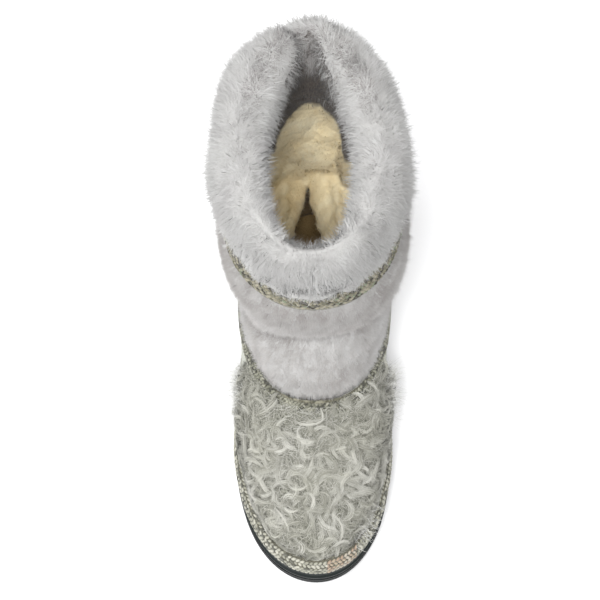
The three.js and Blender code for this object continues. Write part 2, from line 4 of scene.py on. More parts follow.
import bpy
import numpy as np
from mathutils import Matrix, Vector
from mathutils.bvhtree import BVHTree
from mathutils.kdtree import KDTree

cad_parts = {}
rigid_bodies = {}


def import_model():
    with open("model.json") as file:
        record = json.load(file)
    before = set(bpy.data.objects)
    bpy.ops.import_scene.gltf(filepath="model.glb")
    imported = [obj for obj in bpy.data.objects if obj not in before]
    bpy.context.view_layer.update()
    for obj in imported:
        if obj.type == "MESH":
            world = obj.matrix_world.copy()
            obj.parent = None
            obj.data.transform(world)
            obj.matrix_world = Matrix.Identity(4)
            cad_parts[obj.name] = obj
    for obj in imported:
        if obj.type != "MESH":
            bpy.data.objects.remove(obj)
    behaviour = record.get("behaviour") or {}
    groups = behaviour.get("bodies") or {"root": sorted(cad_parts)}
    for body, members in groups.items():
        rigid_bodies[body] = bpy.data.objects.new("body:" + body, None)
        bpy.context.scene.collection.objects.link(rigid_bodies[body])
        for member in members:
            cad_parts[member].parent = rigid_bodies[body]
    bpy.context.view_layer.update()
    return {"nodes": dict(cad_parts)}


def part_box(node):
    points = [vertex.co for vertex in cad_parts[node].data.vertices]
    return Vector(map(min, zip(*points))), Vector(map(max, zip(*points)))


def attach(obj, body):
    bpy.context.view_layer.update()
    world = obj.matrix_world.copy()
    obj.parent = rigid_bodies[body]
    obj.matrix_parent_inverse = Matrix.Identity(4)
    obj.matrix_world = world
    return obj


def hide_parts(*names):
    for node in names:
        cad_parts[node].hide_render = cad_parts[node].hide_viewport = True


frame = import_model()

mm = 0.001
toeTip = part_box("outsole")[0].y  # the frame's place of the tip of the toe


# Small helpers

def deselectAll():
    if bpy.context.mode != "OBJECT":
        bpy.ops.object.mode_set(mode="OBJECT")
    bpy.ops.object.select_all(action="DESELECT")


def makeActive(piece):
    deselectAll()
    piece.select_set(True)
    bpy.context.view_layer.objects.active = piece


def unit(vectors):
    return vectors / np.maximum(np.linalg.norm(vectors, axis=-1, keepdims=True), 1e-12)


def smoothStep(low, high, value):
    t = np.clip((value - low) / (high - low), 0, 1)
    return t * t * (3 - 2 * t)


def bell(value):
    return np.exp(-value * value)


def ripple(points, size, seed):  # soft noise from -1 to 1, the same on every run
    rng = np.random.default_rng(seed)
    total = np.zeros(len(points))
    for _ in range(5):
        wave = unit(rng.normal(size=3)) * 2 * math.pi / size * rng.uniform(0.6, 1.4)
        total += np.sin(points @ wave + rng.uniform(0, 6.28))
    return total / 3


def swirl(points, sizes, seed):  # three ripples, one for each axis, with their sizes in millimetres
    return np.stack([ripple(points, size * mm, seed + i) for i, size in enumerate(sizes)], 1)


def fromToe(place):  # a place across, behind the tip of the toe and above the floor, in millimetres
    return np.array(place) * mm + np.array([0, toeTip, 0])


def behindToe(start, end, points):  # rises from 0 to 1 between two distances behind the tip of the toe
    return smoothStep(start, end, points[..., 1] - toeTip)


def pointsOf(piece):
    places = np.zeros(len(piece.data.vertices) * 3)
    piece.data.vertices.foreach_get("co", places)
    return places.reshape(-1, 3)


def normalsOf(piece):
    normals = np.zeros(len(piece.data.vertices) * 3)
    piece.data.vertices.foreach_get("normal", normals)
    return normals.reshape(-1, 3)


def setPoints(piece, points):
    piece.data.vertices.foreach_set("co", points.ravel())
    piece.data.update()


def trianglesOf(piece):
    piece.data.calc_loop_triangles()
    corners = np.zeros(len(piece.data.loop_triangles) * 3, np.int32)
    piece.data.loop_triangles.foreach_get("vertices", corners)
    return corners.reshape(-1, 3)


def facesOf(piece):
    faces = piece.data.polygons
    return np.array([face.center for face in faces]), np.array([face.normal for face in faces])


def paintFaces(piece, isSecond):
    # Where isSecond is true, a face takes the piece's second material.
    for polygon, second in zip(piece.data.polygons, isSecond):
        polygon.material_index = int(second)


def copyOf(source, name, *materials):
    piece = bpy.data.objects.new(name, source.data.copy())
    bpy.context.scene.collection.objects.link(piece)
    piece.data.materials.clear()
    for material in materials:
        piece.data.materials.append(material)
    makeActive(piece)
    return piece


def applyModifier(piece, kind, **settings):
    modifier = piece.modifiers.new(kind, kind)
    for key, value in settings.items():
        setattr(modifier, key, value)
    bpy.ops.object.modifier_apply(modifier=modifier.name)


def mergeFacets():
    # Joins the loose triangles of a CAD node's copy, and stays in edit mode.
    bpy.ops.object.mode_set(mode="EDIT")
    bpy.ops.mesh.select_all(action="SELECT")
    bpy.ops.mesh.customdata_custom_splitnormals_clear()
    bpy.ops.mesh.remove_doubles(threshold=0.02 * mm)


def roundOff(piece, sharpAngle, crease):
    # Creases the edges sharper than an angle in degrees, and rounds the piece off.
    bpy.ops.mesh.select_all(action="DESELECT")
    bpy.ops.mesh.select_mode(type="EDGE")
    bpy.ops.mesh.edges_select_sharp(sharpness=math.radians(sharpAngle))
    bpy.ops.transform.edge_crease(value=crease)
    bpy.ops.object.mode_set(mode="OBJECT")
    applyModifier(piece, "SUBSURF", levels=2, render_levels=2)


def smoothCopy(node, name, sharpAngle, *materials):
    # A copy of a CAD node with its facets merged into quads and rounded off.
    piece = copyOf(frame["nodes"][node], name, *materials)
    mergeFacets()
    bpy.ops.mesh.tris_convert_to_quads(face_threshold=1.2, shape_threshold=2.0)
    roundOff(piece, sharpAngle, 0.6)
    bpy.ops.object.shade_smooth()
    return piece


def deleteSelectedFaces():
    bpy.ops.object.mode_set(mode="EDIT")
    bpy.ops.mesh.select_mode(type="FACE")
    bpy.ops.mesh.delete(type="FACE")
    bpy.ops.object.mode_set(mode="OBJECT")


def treeOf(piece):
    return BVHTree.FromPolygons(pointsOf(piece).tolist(), trianglesOf(piece).tolist())


def scatter(piece, count, seed, keep):
    # Even random points on a piece, with smooth normals, where keep(points, normals) is above chance.
    rng = np.random.default_rng(seed)
    points, normals, corners = pointsOf(piece), normalsOf(piece), trianglesOf(piece)
    a, b, c = (points[corners[:, i]] for i in range(3))
    area = np.linalg.norm(np.cross(b - a, c - a), axis=1)
    middle = (a + b + c) / 3
    facing = unit(normals[corners].mean(1))
    weight = area * np.clip(keep(middle, facing), 0, 1)
    chosen = rng.choice(len(corners), count, p=weight / weight.sum())
    u, v = rng.random(count), rng.random(count)
    flip = u + v > 1
    u[flip], v[flip] = 1 - u[flip], 1 - v[flip]
    shares = np.stack([1 - u - v, u, v], 1)
    place = (points[corners[chosen]] * shares[:, :, None]).sum(1)
    return place, unit((normals[corners[chosen]] * shares[:, :, None]).sum(1))


def meshFrom(name, points, starts, loops, strandUv, cellUv, normals=None):
    mesh = bpy.data.meshes.new(name)
    mesh.vertices.add(len(points))
    mesh.vertices.foreach_set("co", points.ravel())
    mesh.loops.add(len(loops))
    mesh.loops.foreach_set("vertex_index", loops.astype(np.int32))
    mesh.polygons.add(len(starts))
    mesh.polygons.foreach_set("loop_start", starts.astype(np.int32))
    mesh.polygons.foreach_set("use_smooth", np.ones(len(starts), bool))
    for label, uv in (("strand", strandUv), ("OFBake", cellUv)):
        layer = mesh.uv_layers.new(name=label)
        layer.data.foreach_set("uv", uv[loops].ravel())
    mesh.update(calc_edges=True)
    mesh.validate()
    if normals is not None:
        mesh.normals_split_custom_set_from_vertices(normals.tolist())
    piece = bpy.data.objects.new(name, mesh)
    bpy.context.scene.collection.objects.link(piece)
    return piece


def makeRibbons(name, lines, across, tones, facing, softness=0.7):
    # One flat tapering ribbon for each line: lines and across are strands x points x 3, across is half
    # its width, tones from 0 to 1 tell the strands apart. Each ribbon faces outwards and is shaded
    # mostly as the skin under it, so that fur looks soft.
    strands, steps = lines.shape[:2]
    ahead = np.gradient(lines, axis=1)
    turned = (np.cross(across, ahead) * facing).sum((1, 2)) < 0
    across = np.where(turned, -1, 1)[:, None, None] * across
    flat = unit(np.cross(across, ahead))
    flat[:, -1] = flat[:, -2]
    shading = unit(facing * softness + flat * (1 - softness))
    perStrand = 2 * (steps - 1) + 1
    points = np.zeros((strands, perStrand, 3))
    points[:, 0:-1:2] = lines[:, :-1] - across[:, :-1]
    points[:, 1:-1:2] = lines[:, :-1] + across[:, :-1]
    points[:, -1] = lines[:, -1]
    normals = np.repeat(shading, 2, 1)[:, :perStrand]
    quads = [corner for i in range(steps - 2) for corner in (2 * i, 2 * i + 1, 2 * i + 3, 2 * i + 2)]
    pattern = np.array(quads + [2 * steps - 4, 2 * steps - 3, 2 * steps - 2])
    lengths = np.array([4] * (steps - 2) + [3])
    loops = (np.arange(strands)[:, None] * perStrand + pattern).ravel()
    starts = np.concatenate([[0], np.cumsum(np.tile(lengths, strands))[:-1]])
    along = np.repeat(np.linspace(0, 1, steps)[:-1], 2).tolist() + [1]
    sideways = [0, 1] * (steps - 1) + [0.5]
    strandUv = np.stack([np.repeat(tones, perStrand), np.tile(along, strands)], 1)
    columns = math.ceil(math.sqrt(strands))
    cell = np.stack([np.arange(strands) % columns, np.arange(strands) // columns], 1)
    inCell = 0.15 + 0.7 * np.stack([sideways, along], 1)
    cellUv = ((cell[:, None] + inCell[None]) / columns).reshape(-1, 2)
    return meshFrom(name, points.reshape(-1, 3), starts, loops, strandUv, cellUv, normals.reshape(-1, 3))


def strandWidths(lines, facing, profile, width):
    # Half a strand's width at each step, across its run. The profile is its share of the full width.
    across = unit(np.cross(np.gradient(lines, axis=1), facing))
    return across * np.array(profile)[None, :, None] * width / 2


def clumped(roots, tips, size, strength, seed):
    # Draws each tip towards the tip of its nearest clump.
    rng = np.random.default_rng(seed)
    leaders = rng.permutation(len(roots))[: len(roots) // size]
    tree = KDTree(len(leaders))
    for i, leader in enumerate(leaders):
        tree.insert(roots[leader], i)
    tree.balance()
    nearest = leaders[[tree.find(root)[1] for root in roots]]
    pull = strength * rng.uniform(0.4, 1, len(roots))[:, None]
    return tips * (1 - pull) + tips[nearest] * pull


hairLook = {
    "rise": 0.8, "lean": 0.85, "bendRise": 0.62, "bendLean": 0.3, "bendWidth": 0.8, "twist": 0.15,
    "sunk": 0.4 * mm, "ownTone": 0.35,
}


def growFur(name, roots, normals, comb, look, tones=None, share=1.0):
    # Short fur: each hair leaves along the normal and leans over to where it is combed. Tones drifts
    # some hairs darker, share makes some shorter, and a straight hair is a single thin triangle.
    rng = np.random.default_rng(look["seed"])
    count = len(roots)
    comb = comb - normals * (comb * normals).sum(1, keepdims=True)
    comb = unit(comb + rng.normal(size=(count, 3)) * look["stray"])
    uneven = rng.uniform(1 - look["uneven"], 1 + look["uneven"], count)
    length = (look["length"] * uneven * share)[:, None]
    rise = np.clip(look["rise"] * rng.uniform(0.6, 1.4, count), 0, 1.2)[:, None]
    tips = roots + (normals * rise * hairLook["rise"] + comb * hairLook["lean"]) * length
    tips = clumped(roots, tips, look["clumpSize"], look["clump"], look["seed"])
    twist = rng.normal(size=(count, 3)) * hairLook["twist"] * length
    away = unit(np.cross(tips - roots, normals) + twist)[:, None] * look["width"] / 2
    low = roots - normals * hairLook["sunk"]
    if look["straight"]:
        lines, widths = np.stack([low, tips], 1), np.array([1, 0])
    else:
        bend = roots + (normals * rise * hairLook["bendRise"] + comb * hairLook["bendLean"]) * length
        lines, widths = np.stack([low, bend, tips], 1), np.array([hairLook["bendWidth"], 1, 0])
    own = rng.random(count)
    if tones is not None:
        own = np.clip(tones + (own - 0.5) * hairLook["ownTone"], 0, 1)
    return makeRibbons(name, lines, away * widths[:, None], own, normals[:, None])


# Materials

def newMaterial(name, roughness, sheen=0.0):
    material = bpy.data.materials.new(name)
    material.use_nodes = True
    shader = material.node_tree.nodes["Principled BSDF"]
    shader.inputs["Roughness"].default_value = roughness
    shader.inputs["Specular IOR Level"].default_value = 0.3
    shader.inputs["Sheen Weight"].default_value = sheen
    return material, material.node_tree, shader


def addNode(tree, kind, **values):
    node = tree.nodes.new(kind)
    for key, value in values.items():
        if hasattr(node, key):
            setattr(node, key, value)
        else:
            node.inputs[key].default_value = value
    return node


def setSocket(tree, socket, value):  # a value is a number, a colour or another node's output
    if isinstance(value, bpy.types.NodeSocket):
        tree.links.new(value, socket)
    else:
        socket.default_value = (*value, 1) if isinstance(value, tuple) else value


def noiseOn(tree, scale, detail, roughness):
    # Noise over the piece's own coordinates.
    place = tree.nodes.new("ShaderNodeTexCoord")
    noise = addNode(tree, "ShaderNodeTexNoise", Detail=detail, Roughness=roughness)
    setSocket(tree, noise.inputs["Scale"], scale)
    tree.links.new(place.outputs["Object"], noise.inputs["Vector"])
    return noise.outputs["Fac"]


def ramp(tree, stops, interpolation="LINEAR"):
    node = tree.nodes.new("ShaderNodeValToRGB")
    node.color_ramp.interpolation = interpolation
    while len(node.color_ramp.elements) < len(stops):
        node.color_ramp.elements.new(0.5)
    for element, (place, colour) in zip(node.color_ramp.elements, stops):
        element.position = place
        element.color = (*colour, 1)
    return node


def mixColours(tree, mode, factor, first, second):
    node = tree.nodes.new("ShaderNodeMix")
    node.data_type = "RGBA"
    node.blend_type = mode
    for place, value in ((0, factor), (6, first), (7, second)):
        setSocket(tree, node.inputs[place], value)
    return node.outputs[2]


def newGroup(name, inputs, outputs):
    tree = bpy.data.node_groups.new(name, "ShaderNodeTree")
    for label, kind, value in inputs:
        socket = tree.interface.new_socket(label, in_out="INPUT", socket_type=kind)
        setSocket(tree, socket, value)
    for label, kind in outputs:
        tree.interface.new_socket(label, in_out="OUTPUT", socket_type=kind)
    return tree, tree.nodes.new("NodeGroupInput"), tree.nodes.new("NodeGroupOutput")


def useGroup(tree, group, **values):
    node = tree.nodes.new("ShaderNodeGroup")
    node.node_tree = group
    for key, value in values.items():
        setSocket(tree, node.inputs[key], value)
    return node


def makeStrandGroup():
    # Colour of a hair or a stitch: from root to tip, lighter or darker by its own tone.
    colour, number = "NodeSocketColor", "NodeSocketFloat"
    tree, given, result = newGroup(
        "strandColour",
        [("root", colour, (0.2, 0.2, 0.2)), ("tip", colour, (0.8, 0.8, 0.8)), ("turn", number, 0.4),
         ("dark", colour, (0.7, 0.7, 0.7)), ("light", colour, (1.0, 1.0, 1.0))],
        [("colour", colour), ("tone", number)],
    )
    uv = addNode(tree, "ShaderNodeUVMap", uv_map="strand")
    split = tree.nodes.new("ShaderNodeSeparateXYZ")
    tree.links.new(uv.outputs["UV"], split.inputs[0])
    reach = tree.nodes.new("ShaderNodeMath")
    reach.operation = "DIVIDE"
    reach.use_clamp = True
    tree.links.new(split.outputs["Y"], reach.inputs[0])
    tree.links.new(given.outputs["turn"], reach.inputs[1])
    along = mixColours(tree, "MIX", reach.outputs[0], given.outputs["root"], given.outputs["tip"])
    own = mixColours(tree, "MIX", split.outputs["X"], given.outputs["dark"], given.outputs["light"])
    tree.links.new(mixColours(tree, "MULTIPLY", 1.0, along, own), result.inputs["colour"])
    tree.links.new(split.outputs["X"], result.inputs["tone"])
    return tree


def makeCloudGroup():
    # Soft drift of a colour over a piece, such as where plush is rubbed or lies another way.
    colour, number = "NodeSocketColor", "NodeSocketFloat"
    tree, given, result = newGroup(
        "softDrift",
        [("colour", colour, (0.8, 0.8, 0.8)), ("drift", colour, (0.7, 0.7, 0.7)), ("scale", number, 30.0),
         ("amount", number, 0.5)],
        [("colour", colour), ("mask", number)],
    )
    cloud = noiseOn(tree, given.outputs["scale"], 3.0, 0.6)
    spread = addNode(tree, "ShaderNodeMapRange")
    spread.inputs[1].default_value = 0.38
    spread.inputs[2].default_value = 0.66
    tree.links.new(cloud, spread.inputs["Value"])
    tree.links.new(given.outputs["amount"], spread.inputs[4])
    mask = spread.outputs[0]
    mixed = mixColours(tree, "MIX", mask, given.outputs["colour"], given.outputs["drift"])
    tree.links.new(mixed, result.inputs["colour"])
    tree.links.new(mask, result.inputs["mask"])
    return tree


def makeTweedGroup():
    # Flecked tweed: a mottled ground with dark and pale flecks of yarn, and their height.
    colour, number = "NodeSocketColor", "NodeSocketFloat"
    tree, given, result = newGroup(
        "tweedFleck",
        [("ground", colour, (0.5, 0.5, 0.45)), ("fleck", colour, (0.1, 0.1, 0.1)),
         ("slub", colour, (0.7, 0.7, 0.65)), ("scale", number, 700.0), ("slubScale", number, 170.0)],
        [("colour", colour), ("height", number)],
    )
    fine = noiseOn(tree, given.outputs["scale"], 4.0, 0.7)
    coarse = noiseOn(tree, given.outputs["slubScale"], 3.0, 0.6)
    dark = ramp(tree, [(0.36, (1, 1, 1)), (0.47, (0, 0, 0))])
    pale = ramp(tree, [(0.53, (0, 0, 0)), (0.64, (1, 1, 1))])
    tree.links.new(fine, dark.inputs[0])
    tree.links.new(coarse, pale.inputs[0])
    flecked = mixColours(tree, "MIX", dark.outputs[0], given.outputs["ground"], given.outputs["fleck"])
    mixed = mixColours(tree, "MIX", pale.outputs[0], flecked, given.outputs["slub"])
    tree.links.new(mixed, result.inputs["colour"])
    tree.links.new(fine, result.inputs["height"])
    return tree


strandColour = makeStrandGroup()
softDrift = makeCloudGroup()
tweedFleck = makeTweedGroup()


def bumpFrom(tree, shader, height, strength, distance):
    bump = addNode(tree, "ShaderNodeBump", Strength=strength, Distance=distance)
    tree.links.new(height, bump.inputs["Height"])
    tree.links.new(bump.outputs["Normal"], shader.inputs["Normal"])


def furMaterial(name, root, tip, dark, light, turn, drift=None):
    material, tree, shader = newMaterial(name, roughness=0.8, sheen=0.15)
    strand = useGroup(tree, strandColour, root=root, tip=tip, dark=dark, light=light, turn=turn)
    colour = strand.outputs["colour"]
    if drift:
        cloud = useGroup(tree, softDrift, colour=white, drift=drift, scale=38.0, amount=0.85)
        colour = mixColours(tree, "MULTIPLY", 1.0, colour, cloud.outputs["colour"])
    tree.links.new(colour, shader.inputs["Base Color"])
    return material


def clothMaterial(name, colour, drift, scale, bumpScale, bumpDistance, shade=None):
    # Shade is the colour where the piece's own attribute of that name is 1.
    material, tree, shader = newMaterial(name, roughness=0.9, sheen=0.2)
    cloud = useGroup(tree, softDrift, colour=colour, drift=drift, scale=scale, amount=1.0)
    ground = cloud.outputs["colour"]
    if shade:
        where = addNode(tree, "ShaderNodeAttribute", attribute_name="shade")
        ground = mixColours(tree, "MIX", where.outputs["Fac"], ground, shade)
    tree.links.new(ground, shader.inputs["Base Color"])
    bumpFrom(tree, shader, noiseOn(tree, bumpScale, 4.0, 0.65), 0.7, bumpDistance)
    return material


def tweedMaterial(name, ground, fleck, slub, scale, slubScale=170.0):
    material, tree, shader = newMaterial(name, roughness=0.95, sheen=0.3)
    tweed = useGroup(
        tree, tweedFleck, ground=ground, fleck=fleck, slub=slub, scale=scale, slubScale=slubScale
    )
    tree.links.new(tweed.outputs["colour"], shader.inputs["Base Color"])
    bumpFrom(tree, shader, tweed.outputs["height"], 0.8, 0.0008)
    return material


def rubberMaterial(name, colour, worn, roughness):
    material, tree, shader = newMaterial(name, roughness)
    cloud = useGroup(tree, softDrift, colour=colour, drift=worn, scale=60.0, amount=0.6)
    tree.links.new(cloud.outputs["colour"], shader.inputs["Base Color"])
    bumpFrom(tree, shader, noiseOn(tree, 900.0, 3.0, 0.6), 0.35, 0.0003)
    return material


def yarnMaterial(name, stops):
    # Each stitch takes one colour of the flecked yarn by its tone, and is darker at its ends.
    material, tree, shader = newMaterial(name, roughness=0.95, sheen=0.3)
    strand = useGroup(
        tree, strandColour, root=(0.45, 0.45, 0.45), tip=white, turn=0.3, dark=white, light=white
    )
    yarn = ramp(tree, stops, "CONSTANT")
    tree.links.new(strand.outputs["tone"], yarn.inputs[0])
    colour = mixColours(tree, "MULTIPLY", 1.0, yarn.outputs[0], strand.outputs["colour"])
    tree.links.new(colour, shader.inputs["Base Color"])
    bumpFrom(tree, shader, noiseOn(tree, 1500.0, 3.0, 0.7), 0.8, 0.0003)
    return material


# Fur: colour at the root and the tip, tints of the darkest and lightest hairs, turn and drift
white = (1.0, 1.0, 1.0)
paleFur = furMaterial(
    "paleFur", (0.35, 0.345, 0.335), (0.535, 0.535, 0.525), (0.74, 0.73, 0.73), white, 0.35,
    (0.94, 0.93, 0.94),
)
# The pale fur with near black roots: painted shade deep in the fur where it parts along the rim, mostly at
# the back.
rimFur = furMaterial(
    "rimFur", (0.1, 0.085, 0.08), (0.5, 0.49, 0.48), (0.7, 0.7, 0.7), white, 0.75, (0.85, 0.83, 0.83)
)
darkFur = furMaterial(
    "darkFur", (0.06, 0.048, 0.04), (0.2, 0.17, 0.145), (0.6, 0.6, 0.6), (1.3, 1.3, 1.3), 0.8,
    (0.8, 0.78, 0.77),
)
plushFur = furMaterial(
    "plushFur", (0.36, 0.355, 0.345), (0.53, 0.525, 0.517), (0.6, 0.58, 0.57), (1.03, 1.03, 1.03), 0.4,
    (0.93, 0.91, 0.9),
)
curlFur = furMaterial(
    "curlFur", (0.23, 0.225, 0.195), (0.5, 0.495, 0.462), (0.52, 0.52, 0.48), (1.05, 1.05, 1.03), 0.3,
    (0.9, 0.9, 0.86),
)
# A lighter copy of the curl fur: painted light on the tufts that stand out past the foot's outline.
tuftFurPaintedLight = furMaterial("tuftFurPaintedLight", (0.4, 0.4, 0.36), (0.72, 0.72, 0.69), (0.8, 0.8, 0.8), white, 0.3)
tweedFuzzFur = furMaterial(
    "tweedFuzz", (0.06, 0.06, 0.047), (0.22, 0.22, 0.18), (0.3, 0.3, 0.3), (1.2, 1.2, 1.2), 0.7
)
fleeceFur = furMaterial(
    "fleeceFur", (0.78, 0.65, 0.4), (0.96, 0.88, 0.66), (0.88, 0.84, 0.76), white, 0.5,
    (0.94, 0.88, 0.76),
)

# Cloth under the fur: colour, drift and its scale, then the scale and depth of the grain
furSkin = clothMaterial("furSkin", (0.45, 0.445, 0.435), (0.39, 0.385, 0.38), 60.0, 420.0, 0.001)
darkSkin = clothMaterial("darkSkin", (0.07, 0.058, 0.05), (0.04, 0.033, 0.03), 60.0, 420.0, 0.001)
plushSkin = clothMaterial("plushSkin", (0.43, 0.425, 0.42), (0.38, 0.375, 0.37), 40.0, 420.0, 0.001)
fleeceSkin = clothMaterial(
    "fleeceSkin", (0.94, 0.85, 0.61), (0.83, 0.7, 0.44), 45.0, 330.0, 0.002, (0.075, 0.062, 0.053)
)
# The cream fleece darkened to brown: painted shade deep inside the foot, on the footbed and the inside of the
# upper.
paintedShadeFleece = clothMaterial("paintedShadeFleece", (0.34, 0.23, 0.1), (0.24, 0.155, 0.06), 45.0, 330.0, 0.002)

# Tweed: ground, dark flecks and pale slubs, then the scale of the flecks and of the slubs
quarterCloth = tweedMaterial(
    "quarterCloth", (0.44, 0.45, 0.39), (0.3, 0.31, 0.26), (0.5, 0.5, 0.45), 700.0, 420.0
)
vampTweed = tweedMaterial("vampTweed", (0.24, 0.24, 0.195), (0.05, 0.05, 0.045), (0.4, 0.4, 0.34), 620.0)
knitGround = tweedMaterial("knitGround", (0.13, 0.125, 0.09), (0.03, 0.03, 0.025), (0.26, 0.25, 0.19), 620.0)
randFelt = tweedMaterial(
    "randFelt", (0.03, 0.033, 0.033), (0.01, 0.011, 0.011), (0.2, 0.21, 0.2), 620.0, 560.0
)
soleRubber = rubberMaterial("soleRubber", (0.012, 0.014, 0.014), (0.024, 0.026, 0.026), 0.6)
bumperRubber = rubberMaterial("bumperRubber", (0.006, 0.01, 0.009), (0.014, 0.019, 0.018), 0.4)

# Yarn: the tone from which each colour starts
cuffYarn = yarnMaterial("cuffYarn", [
    (0.0, (0.05, 0.045, 0.03)), (0.25, (0.2, 0.185, 0.125)), (0.5, (0.13, 0.125, 0.08)),
    (0.7, (0.29, 0.27, 0.2)), (0.9, (0.2, 0.23, 0.15)),
])
ankleYarn = yarnMaterial("ankleYarn", [
    (0.0, (0.07, 0.07, 0.055)), (0.2, (0.18, 0.18, 0.135)), (0.55, (0.26, 0.26, 0.205)),
    (0.85, (0.34, 0.335, 0.27)),
])
weltYarn = yarnMaterial("weltYarn", [
    (0.0, (0.12, 0.12, 0.095)), (0.18, (0.29, 0.285, 0.23)), (0.5, (0.37, 0.365, 0.3)),
    (0.8, (0.46, 0.45, 0.38)),
])
accentYarn = yarnMaterial("accentYarn", [
    (0.0, (0.38, 0.31, 0.23)), (0.35, (0.44, 0.4, 0.33)), (0.7, (0.36, 0.27, 0.2)),
])
print("materials ready")


def setShade(piece, values):
    layer = piece.data.attributes.new("shade", "FLOAT", "POINT")
    layer.data.foreach_set("value", values)


def finishPiece(piece, slotName, *materials, replaces=None):
    for material in materials:
        piece.data.materials.append(material)
    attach(piece, "root")
    if replaces:
        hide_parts(replaces)
    return piece


# Foot: sole, rand, bumper and the tweed upper

footLook = {
    "randOut": 1.0 * mm, "randLean": 1.4 * mm, "bareThickness": 0.5 * mm, "vampThickness": 2.4 * mm,
    "lowRise": (26 * mm, 44 * mm), "collarRim": 55 * mm, "peltReach": 2 * mm,
    "randMiddle": (0, 140, 0), "upperMiddle": (0, 150, 45), "vampMiddle": (0, 120, 20),
}


def makeSole():
    # The sole with its facets rounded off, its tread kept sharp.
    piece = copyOf(frame["nodes"]["outsole"], "soleTread", soleRubber)
    mergeFacets()
    bpy.ops.mesh.dissolve_limited(angle_limit=math.radians(1.5))
    roundOff(piece, 28, 1.0)
    bpy.ops.object.shade_smooth_by_angle(angle=math.radians(35))
    finishPiece(piece, "sole_rubber", replaces="outsole")


def makeRand():
    # The felt band leans in towards its upper edge.
    piece = smoothCopy("rand", "feltRand", 40, randFelt)
    points, normals = pointsOf(piece), normalsOf(piece)
    outwards = np.c_[normals[:, :2], np.zeros(len(points))]
    outer = ((points - fromToe(footLook["randMiddle"])) * outwards).sum(1) > 0
    height = smoothStep(points[:, 2].min(), points[:, 2].max(), points[:, 2])
    move = (footLook["randOut"] - footLook["randLean"] * height) * outer
    setPoints(piece, points + outwards * move[:, None])
    finishPiece(piece, "dark_felt", replaces="rand")


def dressSole():
    makeSole()
    makeRand()
    for node, name, slotName, material in (
        ("toe_bumper", "toeCap", "bumper_rubber", bumperRubber),
        # The footbed is the cream fleece darkened to brown as painted shade.
        ("insole", "footbed", "cream_fleece", paintedShadeFleece),
    ):
        finishPiece(smoothCopy(node, name, 40, material), slotName, replaces=node)
    print("sole, rand and footbed made")


def makeUpper():
    # Cloth outside and over the collar's rim; inside, the cream fleece darkened to brown, painted shade deep
    # in the foot.
    piece = smoothCopy("upper", "knitFoot", 60, quarterCloth, paintedShadeFleece)
    centres, normals = facesOf(piece)
    towards = (fromToe(footLook["upperMiddle"]) - centres) * np.array([1, 0.35, 1])
    rim = (normals[:, 2] > 0.3) & (centres[:, 2] > footLook["collarRim"])
    paintFaces(piece, ((towards * normals).sum(1) > 0) & ~rim)
    return finishPiece(piece, "tweed_knit", replaces="upper")


def onOutside(middle, facing):
    outwards = ((middle - fromToe(footLook["vampMiddle"])) * facing).sum(1) > 0
    return outwards & (facing[:, 2] > -0.4)


def makeVampBase(upper):
    # The part of the foot under the curls, raised towards the level of the knitted bands.
    pelt = treeOf(frame["nodes"]["vamp_pelt"])
    piece = copyOf(upper, "vampTweedBase", vampTweed)
    for polygon in piece.data.polygons:
        near = pelt.find_nearest(polygon.center, footLook["peltReach"])[0]
        polygon.select = near is None or (near - polygon.center).dot(polygon.normal) <= 0
        polygon.material_index = 0
    deleteSelectedFaces()
    applyModifier(piece, "SOLIDIFY", thickness=footLook["bareThickness"], offset=1.0)
    points, normals = pointsOf(piece), normalsOf(piece)
    more = footLook["vampThickness"] - footLook["bareThickness"]
    raised = smoothStep(*footLook["lowRise"], points[:, 2]) * onOutside(points, normals)
    setPoints(piece, points + normals * (more * raised)[:, None])
    bpy.ops.object.shade_smooth()
    return finishPiece(piece, "tweed_knit")


dressSole()
upperPiece = makeUpper()
vampBase = makeVampBase(upperPiece)
print("foot made")


# Curly fur over the front of the foot

curlLook = {
    "locks": 480, "strands": 24, "steps": 8, "length": (14 * mm, 32 * mm), "spread": 2.6 * mm,
    "lift": 3.2 * mm, "width": 0.22 * mm, "curl": (1.4, 5.2), "seed": 11,
    "profile": (0.25, 0.75, 1.0, 1.0, 0.9, 0.7, 0.4, 0.0),
}
downLook = {
    "count": 6000, "steps": 5, "length": 11 * mm, "lift": 2.4 * mm, "width": 0.22 * mm, "seed": 12,
    "profile": (0.3, 1, 1, 0.7, 0),
}
fuzzLook = {
    "count": 36000, "seed": 13, "length": 2.6 * mm, "uneven": 0.5, "rise": 0.45, "stray": 1.1,
    "width": 0.3 * mm, "clumpSize": 16, "clump": 0.5, "straight": True,
}

# Fur lies flatter near the rand, but not as far back as the tufts. At the ankle a band stays bare.
lowRim = {"rise": (24 * mm, 44 * mm), "least": 0.12, "tufts": (96 * mm, 112 * mm)}
bareBand = {"width": 9 * mm, "edge": (0.3, 1.4), "bow": 12 * mm, "bowHalf": 30 * mm}

tuftLook = {
    "steps": 5, "length": 12 * mm, "spread": 6.0 * mm, "width": 0.19 * mm, "seed": 14,
    "profile": (0.4, 1, 1, 0.7, 0),
}

# Tufts that stand out past the foot's outline: place from the toe, heading and number of hairs.
tufts = [
    {"place": (-49, 126, 52), "heading": (-1, 0.35, 0.15), "hairs": 300},
    {"place": (-50, 112, 46), "heading": (-1, -0.1, 0.1), "hairs": 260},
    {"place": (53, 128, 54), "heading": (1, 0.25, 0.2), "hairs": 340},
    {"place": (54, 114, 48), "heading": (1, -0.1, 0.1), "hairs": 280},
    {"place": (39, 30, 34), "heading": (0.9, -0.5, -0.1), "hairs": 120},
]


def nearRand(points):
    # Share of the fur's height that is left near the lower edge of the vamp.
    high = smoothStep(*lowRim["rise"], points[..., 2])
    return lowRim["least"] + (1 - lowRim["least"]) * np.maximum(high, behindToe(*lowRim["tufts"], points))


